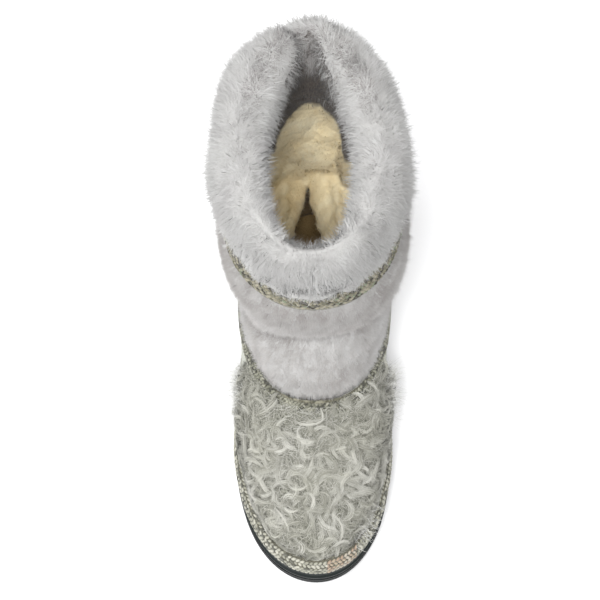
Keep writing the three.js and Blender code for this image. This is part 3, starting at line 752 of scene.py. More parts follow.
def walkOn(tree, roots, headings, turns, step, steps):
    # Follows the surface from each root, turning as it goes, and gives places and normals at each step.
    count = len(roots)
    places, normals = np.zeros((count, steps, 3)), np.zeros((count, steps, 3))
    for i in range(count):
        here, heading = Vector(roots[i]), Vector(headings[i])
        for j in range(steps):
            near, normal, _, _ = tree.find_nearest(here)
            places[i, j], normals[i, j] = near, normal
            heading = (heading - normal * heading.dot(normal)).normalized()
            side = normal.cross(heading)
            angle = turns[i, j]
            heading = heading * math.cos(angle) + side * math.sin(angle)
            here = near + heading * step[i]
    return places, normals


def blurNormals(normals):
    for _ in range(2):
        normals[:, 1:-1] = unit(normals[:, :-2] + normals[:, 1:-1] * 2 + normals[:, 2:])
    return normals


def besideAnkle(points):
    # 0 in the bare band of tweed just below the knitted band at the front of the ankle, 1 elsewhere.
    bow = bareBand["bow"] * (points[:, 0] / bareBand["bowHalf"]) ** 2
    start, end = (share * bareBand["width"] for share in bareBand["edge"])
    return smoothStep(start, end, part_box("ankle_knit")[0].y + bow - points[:, 1])


def along3d(grid, shares):
    # Reads places along each line: grid is lines x steps x 3, shares are lines x wanted steps.
    steps = grid.shape[1]
    position = np.clip(shares, 0, 1) * (steps - 1)
    low = np.minimum(position.astype(int), steps - 2)
    part = (position - low)[..., None]
    rows = np.arange(len(grid))[:, None]
    return grid[rows, low] * (1 - part) + grid[rows, low + 1] * part


def makeCurls(base):
    # Each lock is a curved wisp: its hairs leave a wide root and draw together to a fine tip.
    rng = np.random.default_rng(curlLook["seed"])
    count, strands, steps = (curlLook[key] for key in ("locks", "strands", "steps"))
    tree = treeOf(base)
    roots, normals = scatter(base, count, curlLook["seed"], lambda p, n: onOutside(p, n) * besideAnkle(p))
    headings = unit(np.cross(normals, rng.normal(size=(count, 3))))
    length = rng.uniform(*curlLook["length"], count)
    bend = rng.uniform(*curlLook["curl"], count) * rng.choice([-1, 1], count)
    sway = np.linspace(0.3, 1.7, steps)[None] * np.where(rng.random(count) < 0.25, -1, 1)[:, None] ** (
        np.arange(steps) > steps // 2
    )
    spine, up = walkOn(tree, roots, headings, bend[:, None] / steps * sway, length / (steps - 1), steps)
    up = blurNormals(up)
    along = np.linspace(0, 1, steps)
    arch = np.sin(math.pi * np.clip(along * 0.8 + 0.06, 0, 1))
    high = curlLook["lift"] * rng.uniform(0.5, 1.3, count)[:, None] * arch[None] * nearRand(spine)
    side = unit(np.cross(up, unit(np.gradient(spine, axis=1))))
    spine = spine + up * high[..., None]
    begin = rng.uniform(0, 0.32, (count, strands))
    end = rng.uniform(0.68, 1.0, (count, strands))
    shares = (begin[..., None] + (end - begin)[..., None] * along).reshape(-1, steps)
    spines, sides, ups = (along3d(np.repeat(grid, strands, 0), shares) for grid in (spine, side, up))
    offset = np.clip(rng.normal(size=(count * strands, 1)) * 0.5, -1.5, 1.5)
    stray = np.where(rng.random((count * strands, 1)) < 0.14, 1.9, 1.0)
    spread = curlLook["spread"] * np.repeat(rng.uniform(0.5, 1.2, count), strands)[:, None]
    taper = (1 - shares) ** 0.8 * (0.45 + 1.3 * shares) + 0.07
    phase = rng.uniform(0, 6.28, (count * strands, 1))
    wave = 0.1 * np.sin(phase + shares * 6) * shares
    outwards = rng.uniform(-0.4, 0.7, (count * strands, 1)) * taper * 0.5 * nearRand(spines)
    lines = spines + sides * ((offset * stray * taper + wave) * spread)[..., None]
    lines = lines + ups * (outwards * spread)[..., None]
    across = strandWidths(lines, ups, curlLook["profile"], curlLook["width"])
    tones = np.repeat(rng.uniform(0, 1, count), strands) + rng.normal(size=count * strands) * 0.25
    piece = makeRibbons("vampCurls", lines, across, np.clip(tones, 0, 1), ups, 0.6)
    finishPiece(piece, "curly_fur", curlFur, replaces="vamp_pelt")


def makeDown(base):
    # A thin veil of single hairs between the locks.
    rng = np.random.default_rng(downLook["seed"])
    count, steps = downLook["count"], downLook["steps"]
    tree = treeOf(base)
    roots, normals = scatter(base, count, downLook["seed"], onOutside)
    headings = unit(np.cross(normals, rng.normal(size=(count, 3))))
    turns = np.repeat(rng.normal(size=(count, 1)) * 0.5, steps, 1)
    length = downLook["length"] * rng.uniform(0.5, 1.4, count)
    lines, up = walkOn(tree, roots, headings, turns, length / (steps - 1), steps)
    along = np.linspace(0, 1, steps)
    arch = np.sin(along * 2.4)[None]
    high = downLook["lift"] * rng.uniform(0.3, 1.4, (count, 1)) * arch * nearRand(lines)
    lines = lines + up * high[..., None]
    across = strandWidths(lines, up, downLook["profile"], downLook["width"])
    piece = makeRibbons("vampDown", lines, across, rng.random(count), up, 0.6)
    finishPiece(piece, "curly_fur", curlFur)


def makeTufts(base):
    rng = np.random.default_rng(tuftLook["seed"])
    tree = treeOf(base)
    steps = tuftLook["steps"]
    along = np.linspace(0, 1, steps)[None, :, None]
    strands, facings = [], []
    for tuft in tufts:
        hairs = tuft["hairs"]
        place = Vector(tuft["place"]) * mm + Vector((0, toeTip, 0))
        root, normal, _, _ = tree.find_nearest(place)
        heading = unit(np.array(tuft["heading"]))
        roots = np.array(root) + rng.normal(size=(hairs, 3)) * tuftLook["spread"]
        roots = np.array([tree.find_nearest(Vector(point))[0] for point in roots])
        aims = unit(heading + rng.normal(size=(hairs, 3)) * 0.6)
        curl = rng.normal(size=(hairs, 3)) * 0.5
        length = tuftLook["length"] * rng.uniform(0.15, 1.1, (hairs, 1, 1))
        bent = aims[:, None] * along + curl[:, None] * along ** 2 * 0.5
        strands.append(roots[:, None] + bent * length)
        facings.append(np.tile(np.array(normal) + np.array([0, 0, 0.8]), (hairs, steps, 1)))
    lines, facing = np.concatenate(strands), unit(np.concatenate(facings))
    across = strandWidths(lines, facing, tuftLook["profile"], tuftLook["width"])
    piece = makeRibbons("vampTufts", lines, across, rng.random(len(lines)), facing, 0.8)
    # The tufts take the lighter copy of the curl fur, painted light.
    finishPiece(piece, "curly_fur", tuftFurPaintedLight)


def makeFuzz(base):
    roots, normals = scatter(base, fuzzLook["count"], fuzzLook["seed"], onOutside)
    comb = np.cross(normals, np.array([0.3, 1.0, 0.2]))
    finishPiece(growFur("vampFuzz", roots, normals, comb, fuzzLook), "tweed_knit", tweedFuzzFur)


makeCurls(vampBase)
makeDown(vampBase)
makeTufts(vampBase)
makeFuzz(vampBase)
print("curls made")


# Leg: plush outside, fleece inside

legLook = {
    "plush": {"count": 165000, "seed": 21, "length": 4.4 * mm, "uneven": 0.4, "rise": 0.42, "stray": 0.4,
              "width": 0.3 * mm, "clumpSize": 50, "clump": 0.4, "straight": True},
    "inset": 1.0 * mm, "axis": 186 * mm, "hem": 76 * mm, "lumpsStart": (75 * mm, 95 * mm),
    "lumpsEnd": (205 * mm, 180 * mm), "underCuff": (6 * mm, 22 * mm), "cuffShade": (-55 * mm, -10 * mm),
}
ridgeLook = {"height": 0.35, "above": 2.2}  # shares of a crease's depth and width, for the ridge over it

# Soft creases of the slack leg: round in degrees from the front towards the inner side, height
# above the floor, how much it rises over 90 degrees, its reach in degrees, its width and its depth.
legCreases = [
    {"round": 20, "height": 118 * mm, "rise": 24 * mm, "reach": 60, "width": 6 * mm, "depth": 4.6 * mm},
    {"round": -30, "height": 104 * mm, "rise": -8 * mm, "reach": 30, "width": 5 * mm, "depth": 2.2 * mm},
    {"round": 40, "height": 140 * mm, "rise": 34 * mm, "reach": 34, "width": 7 * mm, "depth": 3.2 * mm},
    {"round": 30, "height": 92 * mm, "rise": 14 * mm, "reach": 30, "width": 3 * mm, "depth": 1.4 * mm},
    {"round": 12, "height": 84 * mm, "rise": 10 * mm, "reach": 28, "width": 2.5 * mm, "depth": 1.0 * mm},
    {"round": -14, "height": 96 * mm, "rise": -12 * mm, "reach": 20, "width": 3 * mm, "depth": 0.9 * mm},
    {"round": 180, "height": 112 * mm, "rise": 0 * mm, "reach": 50, "width": 6 * mm, "depth": 2.4 * mm},
    {"round": 150, "height": 140 * mm, "rise": 20 * mm, "reach": 36, "width": 6 * mm, "depth": 1.8 * mm},
    {"round": -120, "height": 128 * mm, "rise": -16 * mm, "reach": 40, "width": 6 * mm, "depth": 2.0 * mm},
    {"round": 95, "height": 108 * mm, "rise": 10 * mm, "reach": 30, "width": 5 * mm, "depth": 1.6 * mm},
    {"round": -85, "height": 96 * mm, "rise": 6 * mm, "reach": 26, "width": 4 * mm, "depth": 1.2 * mm},
]


def isOuter(points, normals):
    legAxis = np.array([0.0, toeTip + legLook["axis"]])
    return (unit(points[:, :2] - legAxis) * normals[:, :2]).sum(1) > -0.35


def creaseDepth(points):
    # How far the plush lies out, or in where it is negative, for the creases by themselves.
    turn = np.degrees(np.arctan2(points[:, 0], -(points[:, 1] - toeTip - legLook["axis"])))
    move = np.zeros(len(points))
    for crease in legCreases:
        away = (turn - crease["round"] + 180) % 360 - 180
        height = crease["height"] + crease["rise"] * away / 90
        above = (points[:, 2] - height) / crease["width"]
        shape = ridgeLook["height"] * bell(above - ridgeLook["above"]) - bell(above)
        move += shape * bell(away / crease["reach"]) * crease["depth"]
    return move


def creaseLeg(piece):
    # Both faces of the wall move together, so that it keeps its thickness. The lining has its own lumps.
    points, normals = pointsOf(piece), normalsOf(piece)
    outer = isOuter(points, normals)
    move = creaseDepth(points)
    lumps = ripple(points * np.array([1, 1, 0.6]), 34 * mm, 23) * 1.3 * mm
    lumps += ripple(points, 14 * mm, 24) * 0.5 * mm
    inside = smoothStep(*legLook["lumpsStart"], points[:, 2]) * smoothStep(*legLook["lumpsEnd"], points[:, 2])
    move = np.where(outer, move - legLook["inset"], lumps * inside - move)
    setPoints(piece, points + normals * move[:, None])


def makeLeg():
    piece = smoothCopy("leg", "plushLeg", 70, plushSkin, fleeceSkin)
    creaseLeg(piece)
    centres, normals = facesOf(piece)
    paintFaces(piece, ~(isOuter(centres, normals) | (centres[:, 2] < legLook["hem"])))
    return finishPiece(piece, "grey_plush", replaces="leg")


def growLegPlush(leg):
    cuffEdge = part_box("cuff_knit")[0].z
    look = legLook["plush"]

    def keep(middle, facing):
        return isOuter(middle, facing) * (1 - smoothStep(*legLook["underCuff"], middle[:, 2] - cuffEdge))

    roots, normals = scatter(leg, look["count"], look["seed"], keep)
    comb = np.array([0.0, 0.0, -1.0]) + swirl(roots, (70, 60, 50), 31) * np.array([0.35, 0.35, 0.2])
    streaks = roots * np.array([1, 1, 0.45])
    tones = 0.62 + ripple(streaks, 7 * mm, 34) * 0.2 + ripple(roots, 26 * mm, 35) * 0.14
    # Painted shade and light: the plush's tones darken in the creases and lighten on the ridges over them.
    tones += creaseDepth(roots) / mm * 0.16
    # Painted shade on the plush just under the cuff.
    tones -= 0.4 * smoothStep(*legLook["cuffShade"], roots[:, 2] - cuffEdge)
    finishPiece(growFur("legPlush", roots, normals, comb, look, tones), "grey_plush", plushFur)


def growFleece(name, base, look, keep, material):
    roots, normals = scatter(base, look["count"], look["seed"], keep)
    tones = 0.6 + ripple(roots, 9 * mm, 44) * 0.4
    piece = growFur(name, roots, normals, swirl(roots, (22, 20, 24), 41), look, tones)
    finishPiece(piece, "cream_fleece", material)


leg = makeLeg()
growLegPlush(leg)
print("leg made")


# Folds of the lining over the heel: two soft flaps with a ridge on each, and the back wall's bulge above

liningFolds = [
    {"centre": (-24, 234, 82), "radii": (18, 46, 14), "turn": -17},
    {"centre": (23.5, 234, 86), "radii": (19, 46, 15), "turn": 14},
    {"centre": (2, 262, 122), "radii": (30, 10, 25), "turn": 0},
    {"centre": (27, 246, 128), "radii": (7, 9, 30), "turn": 30},
    {"centre": (-26, 248, 118), "radii": (7, 9, 26), "turn": -30},
    {"centre": (20, 228, 98), "radii": (3.5, 34, 7), "turn": 8},
    {"centre": (-18, 228, 92), "radii": (3.2, 34, 7.5), "turn": -8},
]
liningLook = {
    "voxel": 1.9 * mm, "smoothing": 7, "floor": 80 * mm, "top": 214 * mm, "wall": 4.5 * mm,
    "proud": 0.6 * mm, "facingHairs": 10000,
    "arch": 181 * mm, "archHalf": 22.5 * mm, "archRound": 52 * mm, "archDeepest": 36 * mm,
    "pile": {"count": 38000, "seed": 51, "length": 2.2 * mm, "uneven": 0.5, "rise": 0.3, "stray": 0.9,
             "width": 0.4 * mm, "clumpSize": 14, "clump": 0.5, "straight": True},
}


def addFold(fold):
    deselectAll()
    centre = Vector(fold["centre"]) * mm + Vector((0, toeTip, 0))
    bpy.ops.mesh.primitive_uv_sphere_add(segments=48, ring_count=32, radius=1, location=centre)
    piece = bpy.context.object
    piece.scale = Vector(fold["radii"]) * mm
    piece.rotation_euler.z = math.radians(fold["turn"])
    bpy.ops.object.transform_apply(location=True, rotation=True, scale=True)
    return piece


def facingShade(points):
    # 1 where the cuff's dark facing runs on down the wall, in a round arch over the back wall.
    aside = np.clip(np.abs(points[:, 0]) / liningLook["archHalf"], 0, 1)
    fall = np.minimum(liningLook["archRound"] * (1 - np.sqrt(1 - aside ** 2)), liningLook["archDeepest"])
    edge = liningLook["arch"] - fall + ripple(points, 14 * mm, 57) * 1.4 * mm
    return smoothStep(-2.5 * mm, 2.5 * mm, points[:, 2] - edge)


def makeLining(leg):
    # The folds are melted into the wall of the leg, and only the lining's own face of it is kept.
    wall = copyOf(leg, "legLining")
    parts = [addFold(fold) for fold in liningFolds]
    deselectAll()
    for part in [*parts, wall]:
        part.select_set(True)
    bpy.context.view_layer.objects.active = wall
    bpy.ops.object.join()
    applyModifier(wall, "REMESH", mode="VOXEL", voxel_size=liningLook["voxel"])
    applyModifier(wall, "SMOOTH", factor=0.5, iterations=liningLook["smoothing"])
    corners = trianglesOf(leg)
    points, normals = pointsOf(leg), normalsOf(leg)
    outer = isOuter(points[corners].mean(1), unit(normals[corners].mean(1)))
    outside = BVHTree.FromPolygons(points.tolist(), corners[outer].tolist())
    points, normals = pointsOf(wall), normalsOf(wall)
    lumps = ripple(points, 24 * mm, 54) * 1.1 * mm + ripple(points, 11 * mm, 55) * 0.8 * mm
    lumps += ripple(points, 5 * mm, 56) * 0.3 * mm
    setPoints(wall, points + normals * (lumps + liningLook["proud"])[:, None])
    for polygon in wall.data.polygons:
        middle = polygon.center
        near, facing, _, reach = outside.find_nearest(middle)
        inside = (middle - near).dot(facing) < 0 and reach > liningLook["wall"]
        polygon.select = not (inside and liningLook["floor"] < middle.z < liningLook["top"])
    deleteSelectedFaces()
    bpy.ops.object.shade_smooth()
    for piece in (wall, leg):
        setShade(piece, facingShade(pointsOf(piece)))
    look = liningLook["pile"]
    growFleece("liningPile", wall, look, lambda p, n: (n[:, 2] > -0.3) * (1 - facingShade(p)), fleeceFur)
    sparse = {**look, "count": liningLook["facingHairs"]}
    growFleece("facingPile", wall, sparse, lambda p, n: facingShade(p), darkFur)
    wall.data.materials.clear()
    finishPiece(wall, "cream_fleece", fleeceSkin)


makeLining(leg)
print("lining made")


# Fur cuff

cuffLook = {
    "outer": {"count": 22000, "seed": 61, "length": 7.5 * mm, "uneven": 0.35, "rise": 0.42, "stray": 0.4,
              "width": 0.3 * mm, "clumpSize": 30, "clump": 0.3, "straight": False},
    "under": {"count": 120000, "seed": 66, "length": 6.0 * mm, "uneven": 0.4, "rise": 0.4, "stray": 0.5,
              "width": 0.26 * mm, "clumpSize": 90, "clump": 0.2, "straight": True},
    "rim": {"count": 24000, "seed": 63, "length": 6.0 * mm, "uneven": 0.35, "rise": 0.4, "stray": 0.5,
            "width": 0.3 * mm, "clumpSize": 40, "clump": 0.35, "straight": True},
    "facing": {"count": 24000, "seed": 62, "length": 4.0 * mm, "uneven": 0.4, "rise": 0.4, "stray": 0.45,
               "width": 0.4 * mm, "clumpSize": 30, "clump": 0.35, "straight": True},
    "inset": 4.0 * mm, "edgeInset": 2.2 * mm, "lowEdge": 204 * mm, "edgeReach": 34 * mm,
    "edgeRaise": 8 * mm, "raisedFront": (205 * mm, 150 * mm), "openingMiddle": 180 * mm,
    "darkInside": (1 * mm, 5 * mm), "darkBelow": (254 * mm, 242 * mm),
    "notchTip": 264 * mm, "notchStart": (215 * mm, 235 * mm), "notchHalf": 1.5 * mm, "notchWidens": 0.5,
    "rimBack": (190 * mm, 235 * mm), "rimStart": (-1 * mm, 3 * mm), "rimEnd": (14 * mm, 9 * mm),
    "rimLeast": 0.08, "rimLow": 235 * mm,
}

# Soft dents of the cuff: place from the toe, reach, turn about the upright in degrees, and depth.
cuffDents = [
    {"place": (-10, 262, 268), "reach": (9, 4.5, 8), "turn": -38, "depth": 5.5 * mm},
    {"place": (-1, 247, 262), "reach": (5, 12, 12), "turn": 0, "depth": 7.0 * mm},
    {"place": (-44, 205, 262), "reach": (16, 7, 14), "turn": 25, "depth": 1.6 * mm},
    {"place": (47, 180, 260), "reach": (16, 8, 14), "turn": -15, "depth": 1.4 * mm},
    {"place": (-30, 120, 238), "reach": (9, 16, 14), "turn": 20, "depth": 1.6 * mm},
    {"place": (18, 112, 232), "reach": (10, 16, 14), "turn": -10, "depth": 1.4 * mm},
    {"place": (52, 232, 238), "reach": (14, 10, 18), "turn": 20, "depth": 1.6 * mm},
    {"place": (-50, 246, 232), "reach": (12, 12, 18), "turn": 0, "depth": 1.6 * mm},
]


def crestOf(points):
    # How far the crest of the rim lies from the middle of the opening, in even directions all round.
    turn, reach = aroundOpening(points)
    directions = 72
    sector = (turn / (2 * math.pi) * directions).astype(int) % directions
    crest = np.zeros(directions)
    for i in range(directions):
        inSector = np.nonzero(sector == i)[0]
        crest[i] = reach[inSector[np.argmax(points[inSector, 2])]]
    return sum(np.roll(crest, k) for k in range(-2, 3)) / 5


def aroundOpening(points):
    away = points[:, :2] - np.array([0.0, toeTip + cuffLook["openingMiddle"]])
    return np.arctan2(away[:, 0], -away[:, 1]) % (2 * math.pi), np.linalg.norm(away, axis=1)


def insideCrest(points, crest):
    # How far a point lies inside the crest of the rim, in metres.
    turn, reach = aroundOpening(points)
    place = turn / (2 * math.pi) * len(crest) - 0.5
    return np.interp(place, np.arange(-1, len(crest) + 1), np.r_[crest[-1], crest, crest[0]]) - reach


def lowerEdge(points):
    # 1 at the outer lower edge of the cuff, 0 a little above it.
    low = cuffLook["lowEdge"]
    return smoothStep(low + cuffLook["edgeReach"], low, points[:, 2])


def darkShare(points, crest):
    # The facing is dark below the rim's roll and pale over the rim itself. In the notch at the back the same
    # dark is painted shade in the crease.
    inward = smoothStep(*cuffLook["darkInside"], insideCrest(points, crest))
    # The notch: painted shade along the crease at the back of the rim.
    toTip = np.maximum(toeTip + cuffLook["notchTip"] - points[:, 1], 0)
    half = cuffLook["notchHalf"] + cuffLook["notchWidens"] * toTip
    notch = bell(points[:, 0] / half) * smoothStep(0, 4 * mm, toTip)
    notch *= behindToe(*cuffLook["notchStart"], points)
    return inward * np.maximum(smoothStep(*cuffLook["darkBelow"], points[:, 2]), notch)


def dentCuff(points, normals):
    move = np.zeros(len(points))
    for dent in cuffDents:
        away = points - fromToe(dent["place"])
        turn = math.radians(dent["turn"])
        across = away[:, 0] * math.cos(turn) + away[:, 1] * math.sin(turn)
        length = away[:, 1] * math.cos(turn) - away[:, 0] * math.sin(turn)
        share = dent["depth"]
        for distance, reach in zip((across, length, away[:, 2]), dent["reach"]):
            share = share * bell(distance / (reach * mm))
        move += share
    return points - normals * move[:, None]


def makeCuff():
    piece = smoothCopy("cuff", "furCuff", 100, furSkin, darkSkin)
    points, normals = pointsOf(piece), normalsOf(piece)
    crest = crestOf(points)
    outer = smoothStep(2 * mm, -2 * mm, insideCrest(points, crest))
    edge = lowerEdge(points) * outer
    inset = cuffLook["inset"] * (0.4 + 0.6 * outer) * (1 - edge) + cuffLook["edgeInset"] * edge
    lumps = ripple(points, 60 * mm, 64) * 1.1 * mm + ripple(points, 28 * mm, 65) * 0.5 * mm
    shaped = points - normals * (inset - lumps * outer * (1 - edge))[:, None]
    front = behindToe(*cuffLook["raisedFront"], points)
    shaped[:, 2] += cuffLook["edgeRaise"] * edge * (0.2 + 0.8 * front)
    setPoints(piece, dentCuff(shaped, normals))
    # Dark skin on the facing, and as painted shade in the notch at the back.
    paintFaces(piece, darkShare(facesOf(piece)[0], crest) > 0.5)
    return finishPiece(piece, "pale_fur", replaces="cuff"), crest


def cuffComb(points, normals, inward):
    middle = np.array([0.0, toeTip + cuffLook["openingMiddle"]])
    outwards = unit(np.c_[points[:, :2] - middle, np.zeros(len(points))])
    down = np.array([0.0, 0.0, -1.0])
    comb = outwards * (1 - 1.6 * inward)[:, None] * 0.8 + down * (0.35 + 0.5 * (1 - normals[:, 2:3]))
    parting = (4 * inward * (1 - inward))[:, None]
    broad = swirl(points, (45, 45, 40), 71) * 0.4
    tousled = swirl(points, (13, 12, 14), 74) * (0.3 + 0.7 * parting)
    return comb * (1 - 0.75 * parting) + broad + tousled


def growCuffFur(cuff, crest):
    def keepOuter(middle, facing):
        return (1 - darkShare(middle, crest)) * (facing[:, 2] > -0.75)

    # Rim hairs with painted shade at their roots, along the inside of the crest and mostly at the back.
    def keepRim(middle, facing):
        inward = insideCrest(middle, crest)
        band = smoothStep(*cuffLook["rimStart"], inward) * smoothStep(*cuffLook["rimEnd"], inward)
        least = cuffLook["rimLeast"]
        back = least + (1 - least) * behindToe(*cuffLook["rimBack"], middle)
        return band * back * (middle[:, 2] > cuffLook["rimLow"])

    def keepFacing(middle, facing):
        return darkShare(middle, crest)

    for name, key, keep, material in (
        ("cuffFur", "outer", keepOuter, paleFur),
        ("cuffUnderfur", "under", keepOuter, paleFur),
        ("rimFur", "rim", keepRim, rimFur),
        # The dark facing fur also fills the notch at the back, as painted shade.
        ("facingFur", "facing", keepFacing, darkFur),
    ):
        look = cuffLook[key]
        roots, normals = scatter(cuff, look["count"], look["seed"], keep)
        inward = smoothStep(-10 * mm, 14 * mm, insideCrest(roots, crest))
        tones = 0.66 + ripple(roots, 9 * mm, 77) * 0.3 + ripple(roots, 32 * mm, 78) * 0.2
        share = 1 - 0.35 * lowerEdge(roots) * (1 - inward)
        piece = growFur(name, roots, normals, cuffComb(roots, normals, inward), look, tones, share)
        finishPiece(piece, "pale_fur", material)


cuff, cuffCrest = makeCuff()
growCuffFur(cuff, cuffCrest)
print("cuff made")


# Knitted bands: stitches laid over the CAD bands

# Stitches of each band. Above is how far the knit runs on upwards, under the fur. Pivot is how far
# inside the band the rays aim, and proud is how far the stitches stand out of it. Size is in
# millimetres: half the length, half the width and half the height.
knitLook = {
    "cuffStitches": {
        "node": "cuff_knit", "slot": "cuff_knit", "seed": 81, "rows": 11, "darkRows": 0,
        "pitch": 2.8 * mm, "size": (1.9, 0.95, 0.7), "above": 9 * mm, "pivot": 1.2 * mm,
        "proud": 0.2 * mm, "accent": None,
    },
    "ankleStitches": {
        "node": "ankle_knit", "slot": "braided_knit", "seed": 82, "rows": 6, "darkRows": 0,
        "pitch": 2.3 * mm, "size": (1.5, 0.75, 0.5), "above": 0, "pivot": 3.6 * mm,
        "proud": 0.45 * mm, "accent": None,
    },
    "weltStitches": {
        "node": "welt_knit", "slot": "braided_knit", "seed": 83, "rows": 6, "darkRows": 2,
        "pitch": 2.9 * mm, "size": (1.9, 1.0, 0.6), "above": 0, "pivot": 3.6 * mm,
        "proud": 0.45 * mm, "accent": ((12, -20, 0), (31, 27, 60)),
    },
}
stitchLook = {
    "slant": 0.6, "slantSpread": 0.12, "sides": 5, "rings": (0.2, 0.5, 0.8), "crown": 0.35,
    "darkBehind": 32 * mm, "darkTone": 0.3,
}


def bandRows(node, rows, above, inwards):
    # Places and normals over a band's outer face and its top, in rows from its lower edge up, all round.
    tree = treeOf(frame["nodes"][node])
    low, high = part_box(node)
    centre = (low + high) / 2
    samples = 360
    tilts = np.radians(np.arange(-70, 98, 3))
    places = np.zeros((samples, rows, 3))
    normals = np.zeros((samples, rows, 3))
    for i in range(samples):
        angle = 2 * math.pi * i / samples
        outwards = Vector((math.sin(angle), -math.cos(angle), 0))
        edge = next(hit for hit in (
            tree.ray_cast(centre + Vector((0, 0, lift * mm)) + outwards * 0.3, -outwards)[0]
            for lift in (0, 1, -1, 2, -2, 3, -3, 5, -5)
        ) if hit is not None and (hit - centre).dot(outwards) > 0)
        pivot = edge - outwards * inwards
        hits = []
        for tilt in tilts:
            away = outwards * math.cos(tilt) + Vector((0, 0, math.sin(tilt)))
            place, normal, _, _ = tree.ray_cast(pivot + away * 30 * mm, -away)
            if place is not None and (place - pivot).dot(away) > 0:
                hits.append((place, normal))
        if above:
            hits = [hit for hit in hits if hit[1].z < 0.7]
            hits += [(hits[-1][0] + Vector((0, 0, above * share)), outwards) for share in (0.3, 0.65, 1)]
        route = np.array([place for place, _ in hits])
        facing = np.array([normal for _, normal in hits])
        reach = np.concatenate([[0], np.cumsum(np.linalg.norm(np.diff(route, axis=0), axis=1))])
        wanted = (np.arange(rows) + 0.5) / rows * reach[-1]
        for k in range(3):
            places[i, :, k] = np.interp(wanted, reach, route[:, k])
            normals[i, :, k] = np.interp(wanted, reach, facing[:, k])
    spread = 3
    for grid in (places, normals):
        grid[:] = sum(np.roll(grid, k, axis=0) for k in range(-spread, spread + 1)) / (2 * spread + 1)
    return places, unit(normals)


def makeStitches(name, look, yarn):
    rng = np.random.default_rng(look["seed"])
    places, normals = bandRows(look["node"], look["rows"], look["above"], look["pivot"])
    ringSides, ringShares = stitchLook["sides"], stitchLook["rings"]
    perStitch = 2 + ringSides * len(ringShares)
    points, faces, tones, along = [], [], [], []
    for j in range(look["rows"]):
        row, facing = places[:, j], normals[:, j]
        gaps = np.linalg.norm(np.roll(row, -1, axis=0) - row, axis=1)
        reach = np.concatenate([[0], np.cumsum(gaps)])
        count = round(reach[-1] / look["pitch"])
        wanted = (np.arange(count) + 0.5 * (j % 2)) / count * reach[-1]
        loop = np.concatenate([row, row[:1]])
        up = np.concatenate([facing, facing[:1]])
        middle = np.stack([np.interp(wanted, reach, loop[:, k]) for k in range(3)], 1)
        normal = unit(np.stack([np.interp(wanted, reach, up[:, k]) for k in range(3)], 1))
        ahead = unit(np.roll(middle, -1, axis=0) - np.roll(middle, 1, axis=0))
        middle = middle + normal * look["proud"]
        side = np.cross(normal, ahead)
        lean = rng.normal(size=count) * stitchLook["slantSpread"]
        slant = stitchLook["slant"] * (1 if j % 2 else -1) + lean
        grain = ahead * np.cos(slant)[:, None] + side * np.sin(slant)[:, None]
        across = np.cross(normal, grain)
        long, wide, high = (value * mm for value in look["size"])
        for i in range(count):
            first = len(points)
            size = rng.uniform(0.85, 1.15)
            tone = rng.random()
            if j < look["darkRows"] and middle[i, 1] > toeTip + stitchLook["darkBehind"]:
                tone *= stitchLook["darkTone"]
            points.append(middle[i] - grain[i] * long * size)
            along.append(0.0)
            for share in ringShares:
                thick = math.sin(math.pi * (0.15 + 0.7 * share)) * size
                core = middle[i] + grain[i] * long * (2 * share - 1) * size
                core += normal[i] * stitchLook["crown"] * high * thick
                for k in range(ringSides):
                    angle = 2 * math.pi * k / ringSides
                    aside = across[i] * math.cos(angle) * wide + normal[i] * math.sin(angle) * high
                    points.append(core + aside * thick)
                    along.append(0.5 - abs(share - 0.5))
            points.append(middle[i] + grain[i] * long * size)
            along.append(0.0)
            last = len(points) - 1
            for k in range(ringSides):
                n = (k + 1) % ringSides
                faces.append((first, first + 1 + n, first + 1 + k))
                for ring in range(len(ringShares) - 1):
                    a = first + 1 + ring * ringSides
                    faces.append((a + k, a + n, a + ringSides + n, a + ringSides + k))
                a = first + 1 + (len(ringShares) - 1) * ringSides
                faces.append((a + k, a + n, last))
            tones += [tone] * (last - first + 1)
    starts = np.concatenate([[0], np.cumsum([len(face) for face in faces])[:-1]])
    loops = np.array([corner for face in faces for corner in face])
    strandUv = np.stack([tones, along], 1)
    columns = math.ceil(math.sqrt(len(points) / perStitch))
    cell, corner = np.divmod(np.arange(len(points)), perStitch)
    inCell = np.stack([corner / perStitch, np.array(along)], 1) * 0.7 + 0.15
    cellUv = (np.stack([cell % columns, cell // columns], 1) + inCell) / columns
    piece = meshFrom(name, np.array(points), starts, loops, strandUv, cellUv)
    finishPiece(piece, look["slot"], yarn, accentYarn)
    if look["accent"]:
        low, high = (fromToe(corner) for corner in look["accent"])
        centres = facesOf(piece)[0]
        paintFaces(piece, ((low < centres) & (centres < high)).all(1))


for name, yarn in (("cuffStitches", cuffYarn), ("ankleStitches", ankleYarn), ("weltStitches", weltYarn)):
    makeStitches(name, knitLook[name], yarn)
    ground = frame["nodes"][knitLook[name]["node"]].data.materials
    ground.clear()
    ground.append(knitGround)
print("knitted bands made")


# Floor, light and camera

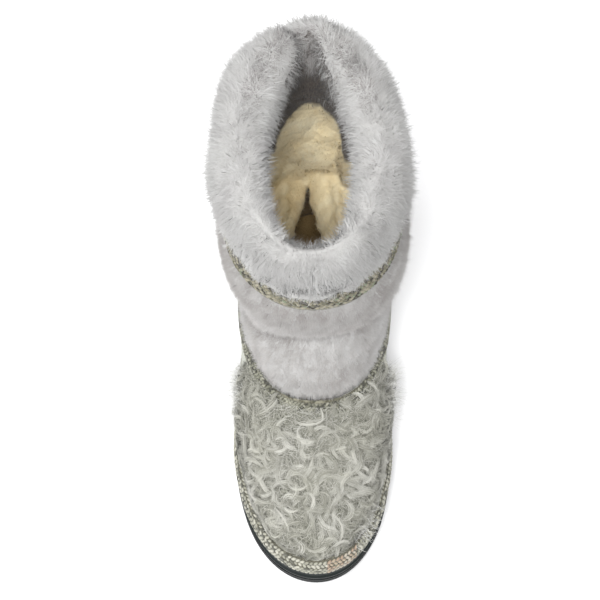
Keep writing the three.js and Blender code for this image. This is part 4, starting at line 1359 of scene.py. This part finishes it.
studio = {
    "floor": 3.0, "worldStrength": 0.56, "lampsAim": (0, 0, 0.1),
    "lamps": {
        "keyLight": {"place": (-1.1, -0.5, 1.5), "size": 1.1, "power": 14.5},
        "frontLight": {"place": (-0.12, -0.8, 1.8), "size": 0.5, "power": 32},
        "backLight": {"place": (0.3, 1.2, 1.1), "size": 1.4, "power": 7},
    },
}
photoCamera = {
    "aim": (-0.00545, 0.01455, 0.120), "elevation": 66, "distance": 1.2, "lens": 114, "sensorWidth": 36,
}


def makeStudio():
    deselectAll()
    bpy.ops.mesh.primitive_plane_add(size=studio["floor"])
    floor = bpy.context.object
    floor.name = "floor"
    material, tree, shader = newMaterial("paleFloor", 0.9)
    cloud = useGroup(
        tree, softDrift, colour=(0.93, 0.93, 0.94), drift=(0.92, 0.92, 0.925), scale=3.0, amount=1.0
    )
    tree.links.new(cloud.outputs["colour"], shader.inputs["Base Color"])
    floor.data.materials.append(material)
    world = bpy.data.worlds.new("paleStudio")
    world.use_nodes = True
    background = world.node_tree.nodes["Background"]
    background.inputs["Color"].default_value = (*white, 1)
    background.inputs["Strength"].default_value = studio["worldStrength"]
    bpy.context.scene.world = world
    for name, lamp in studio["lamps"].items():
        bpy.ops.object.light_add(type="AREA", location=lamp["place"])
        light = bpy.context.object
        light.name = name
        light.data.size = lamp["size"]
        light.data.energy = lamp["power"]
        towards = Vector(studio["lampsAim"]) - light.location
        light.rotation_euler = towards.to_track_quat("-Z", "Y").to_euler()
    angle = math.radians(photoCamera["elevation"])
    back = Vector((0, -math.cos(angle), math.sin(angle))) * photoCamera["distance"]
    bpy.ops.object.camera_add(location=Vector(photoCamera["aim"]) + back)
    camera = bpy.context.object
    camera.rotation_euler = (math.radians(90) - angle, 0, 0)
    camera.data.sensor_width = photoCamera["sensorWidth"]
    camera.data.lens = photoCamera["lens"]
    bpy.context.scene.camera = camera
    bpy.context.scene.view_settings.view_transform = "Standard"


makeStudio()
print("studio ready")

for piece in bpy.data.objects:
    if piece.type == "MESH" and piece.name not in frame["nodes"]:
        print("triangles", piece.name, sum(len(polygon.vertices) - 2 for polygon in piece.data.polygons))
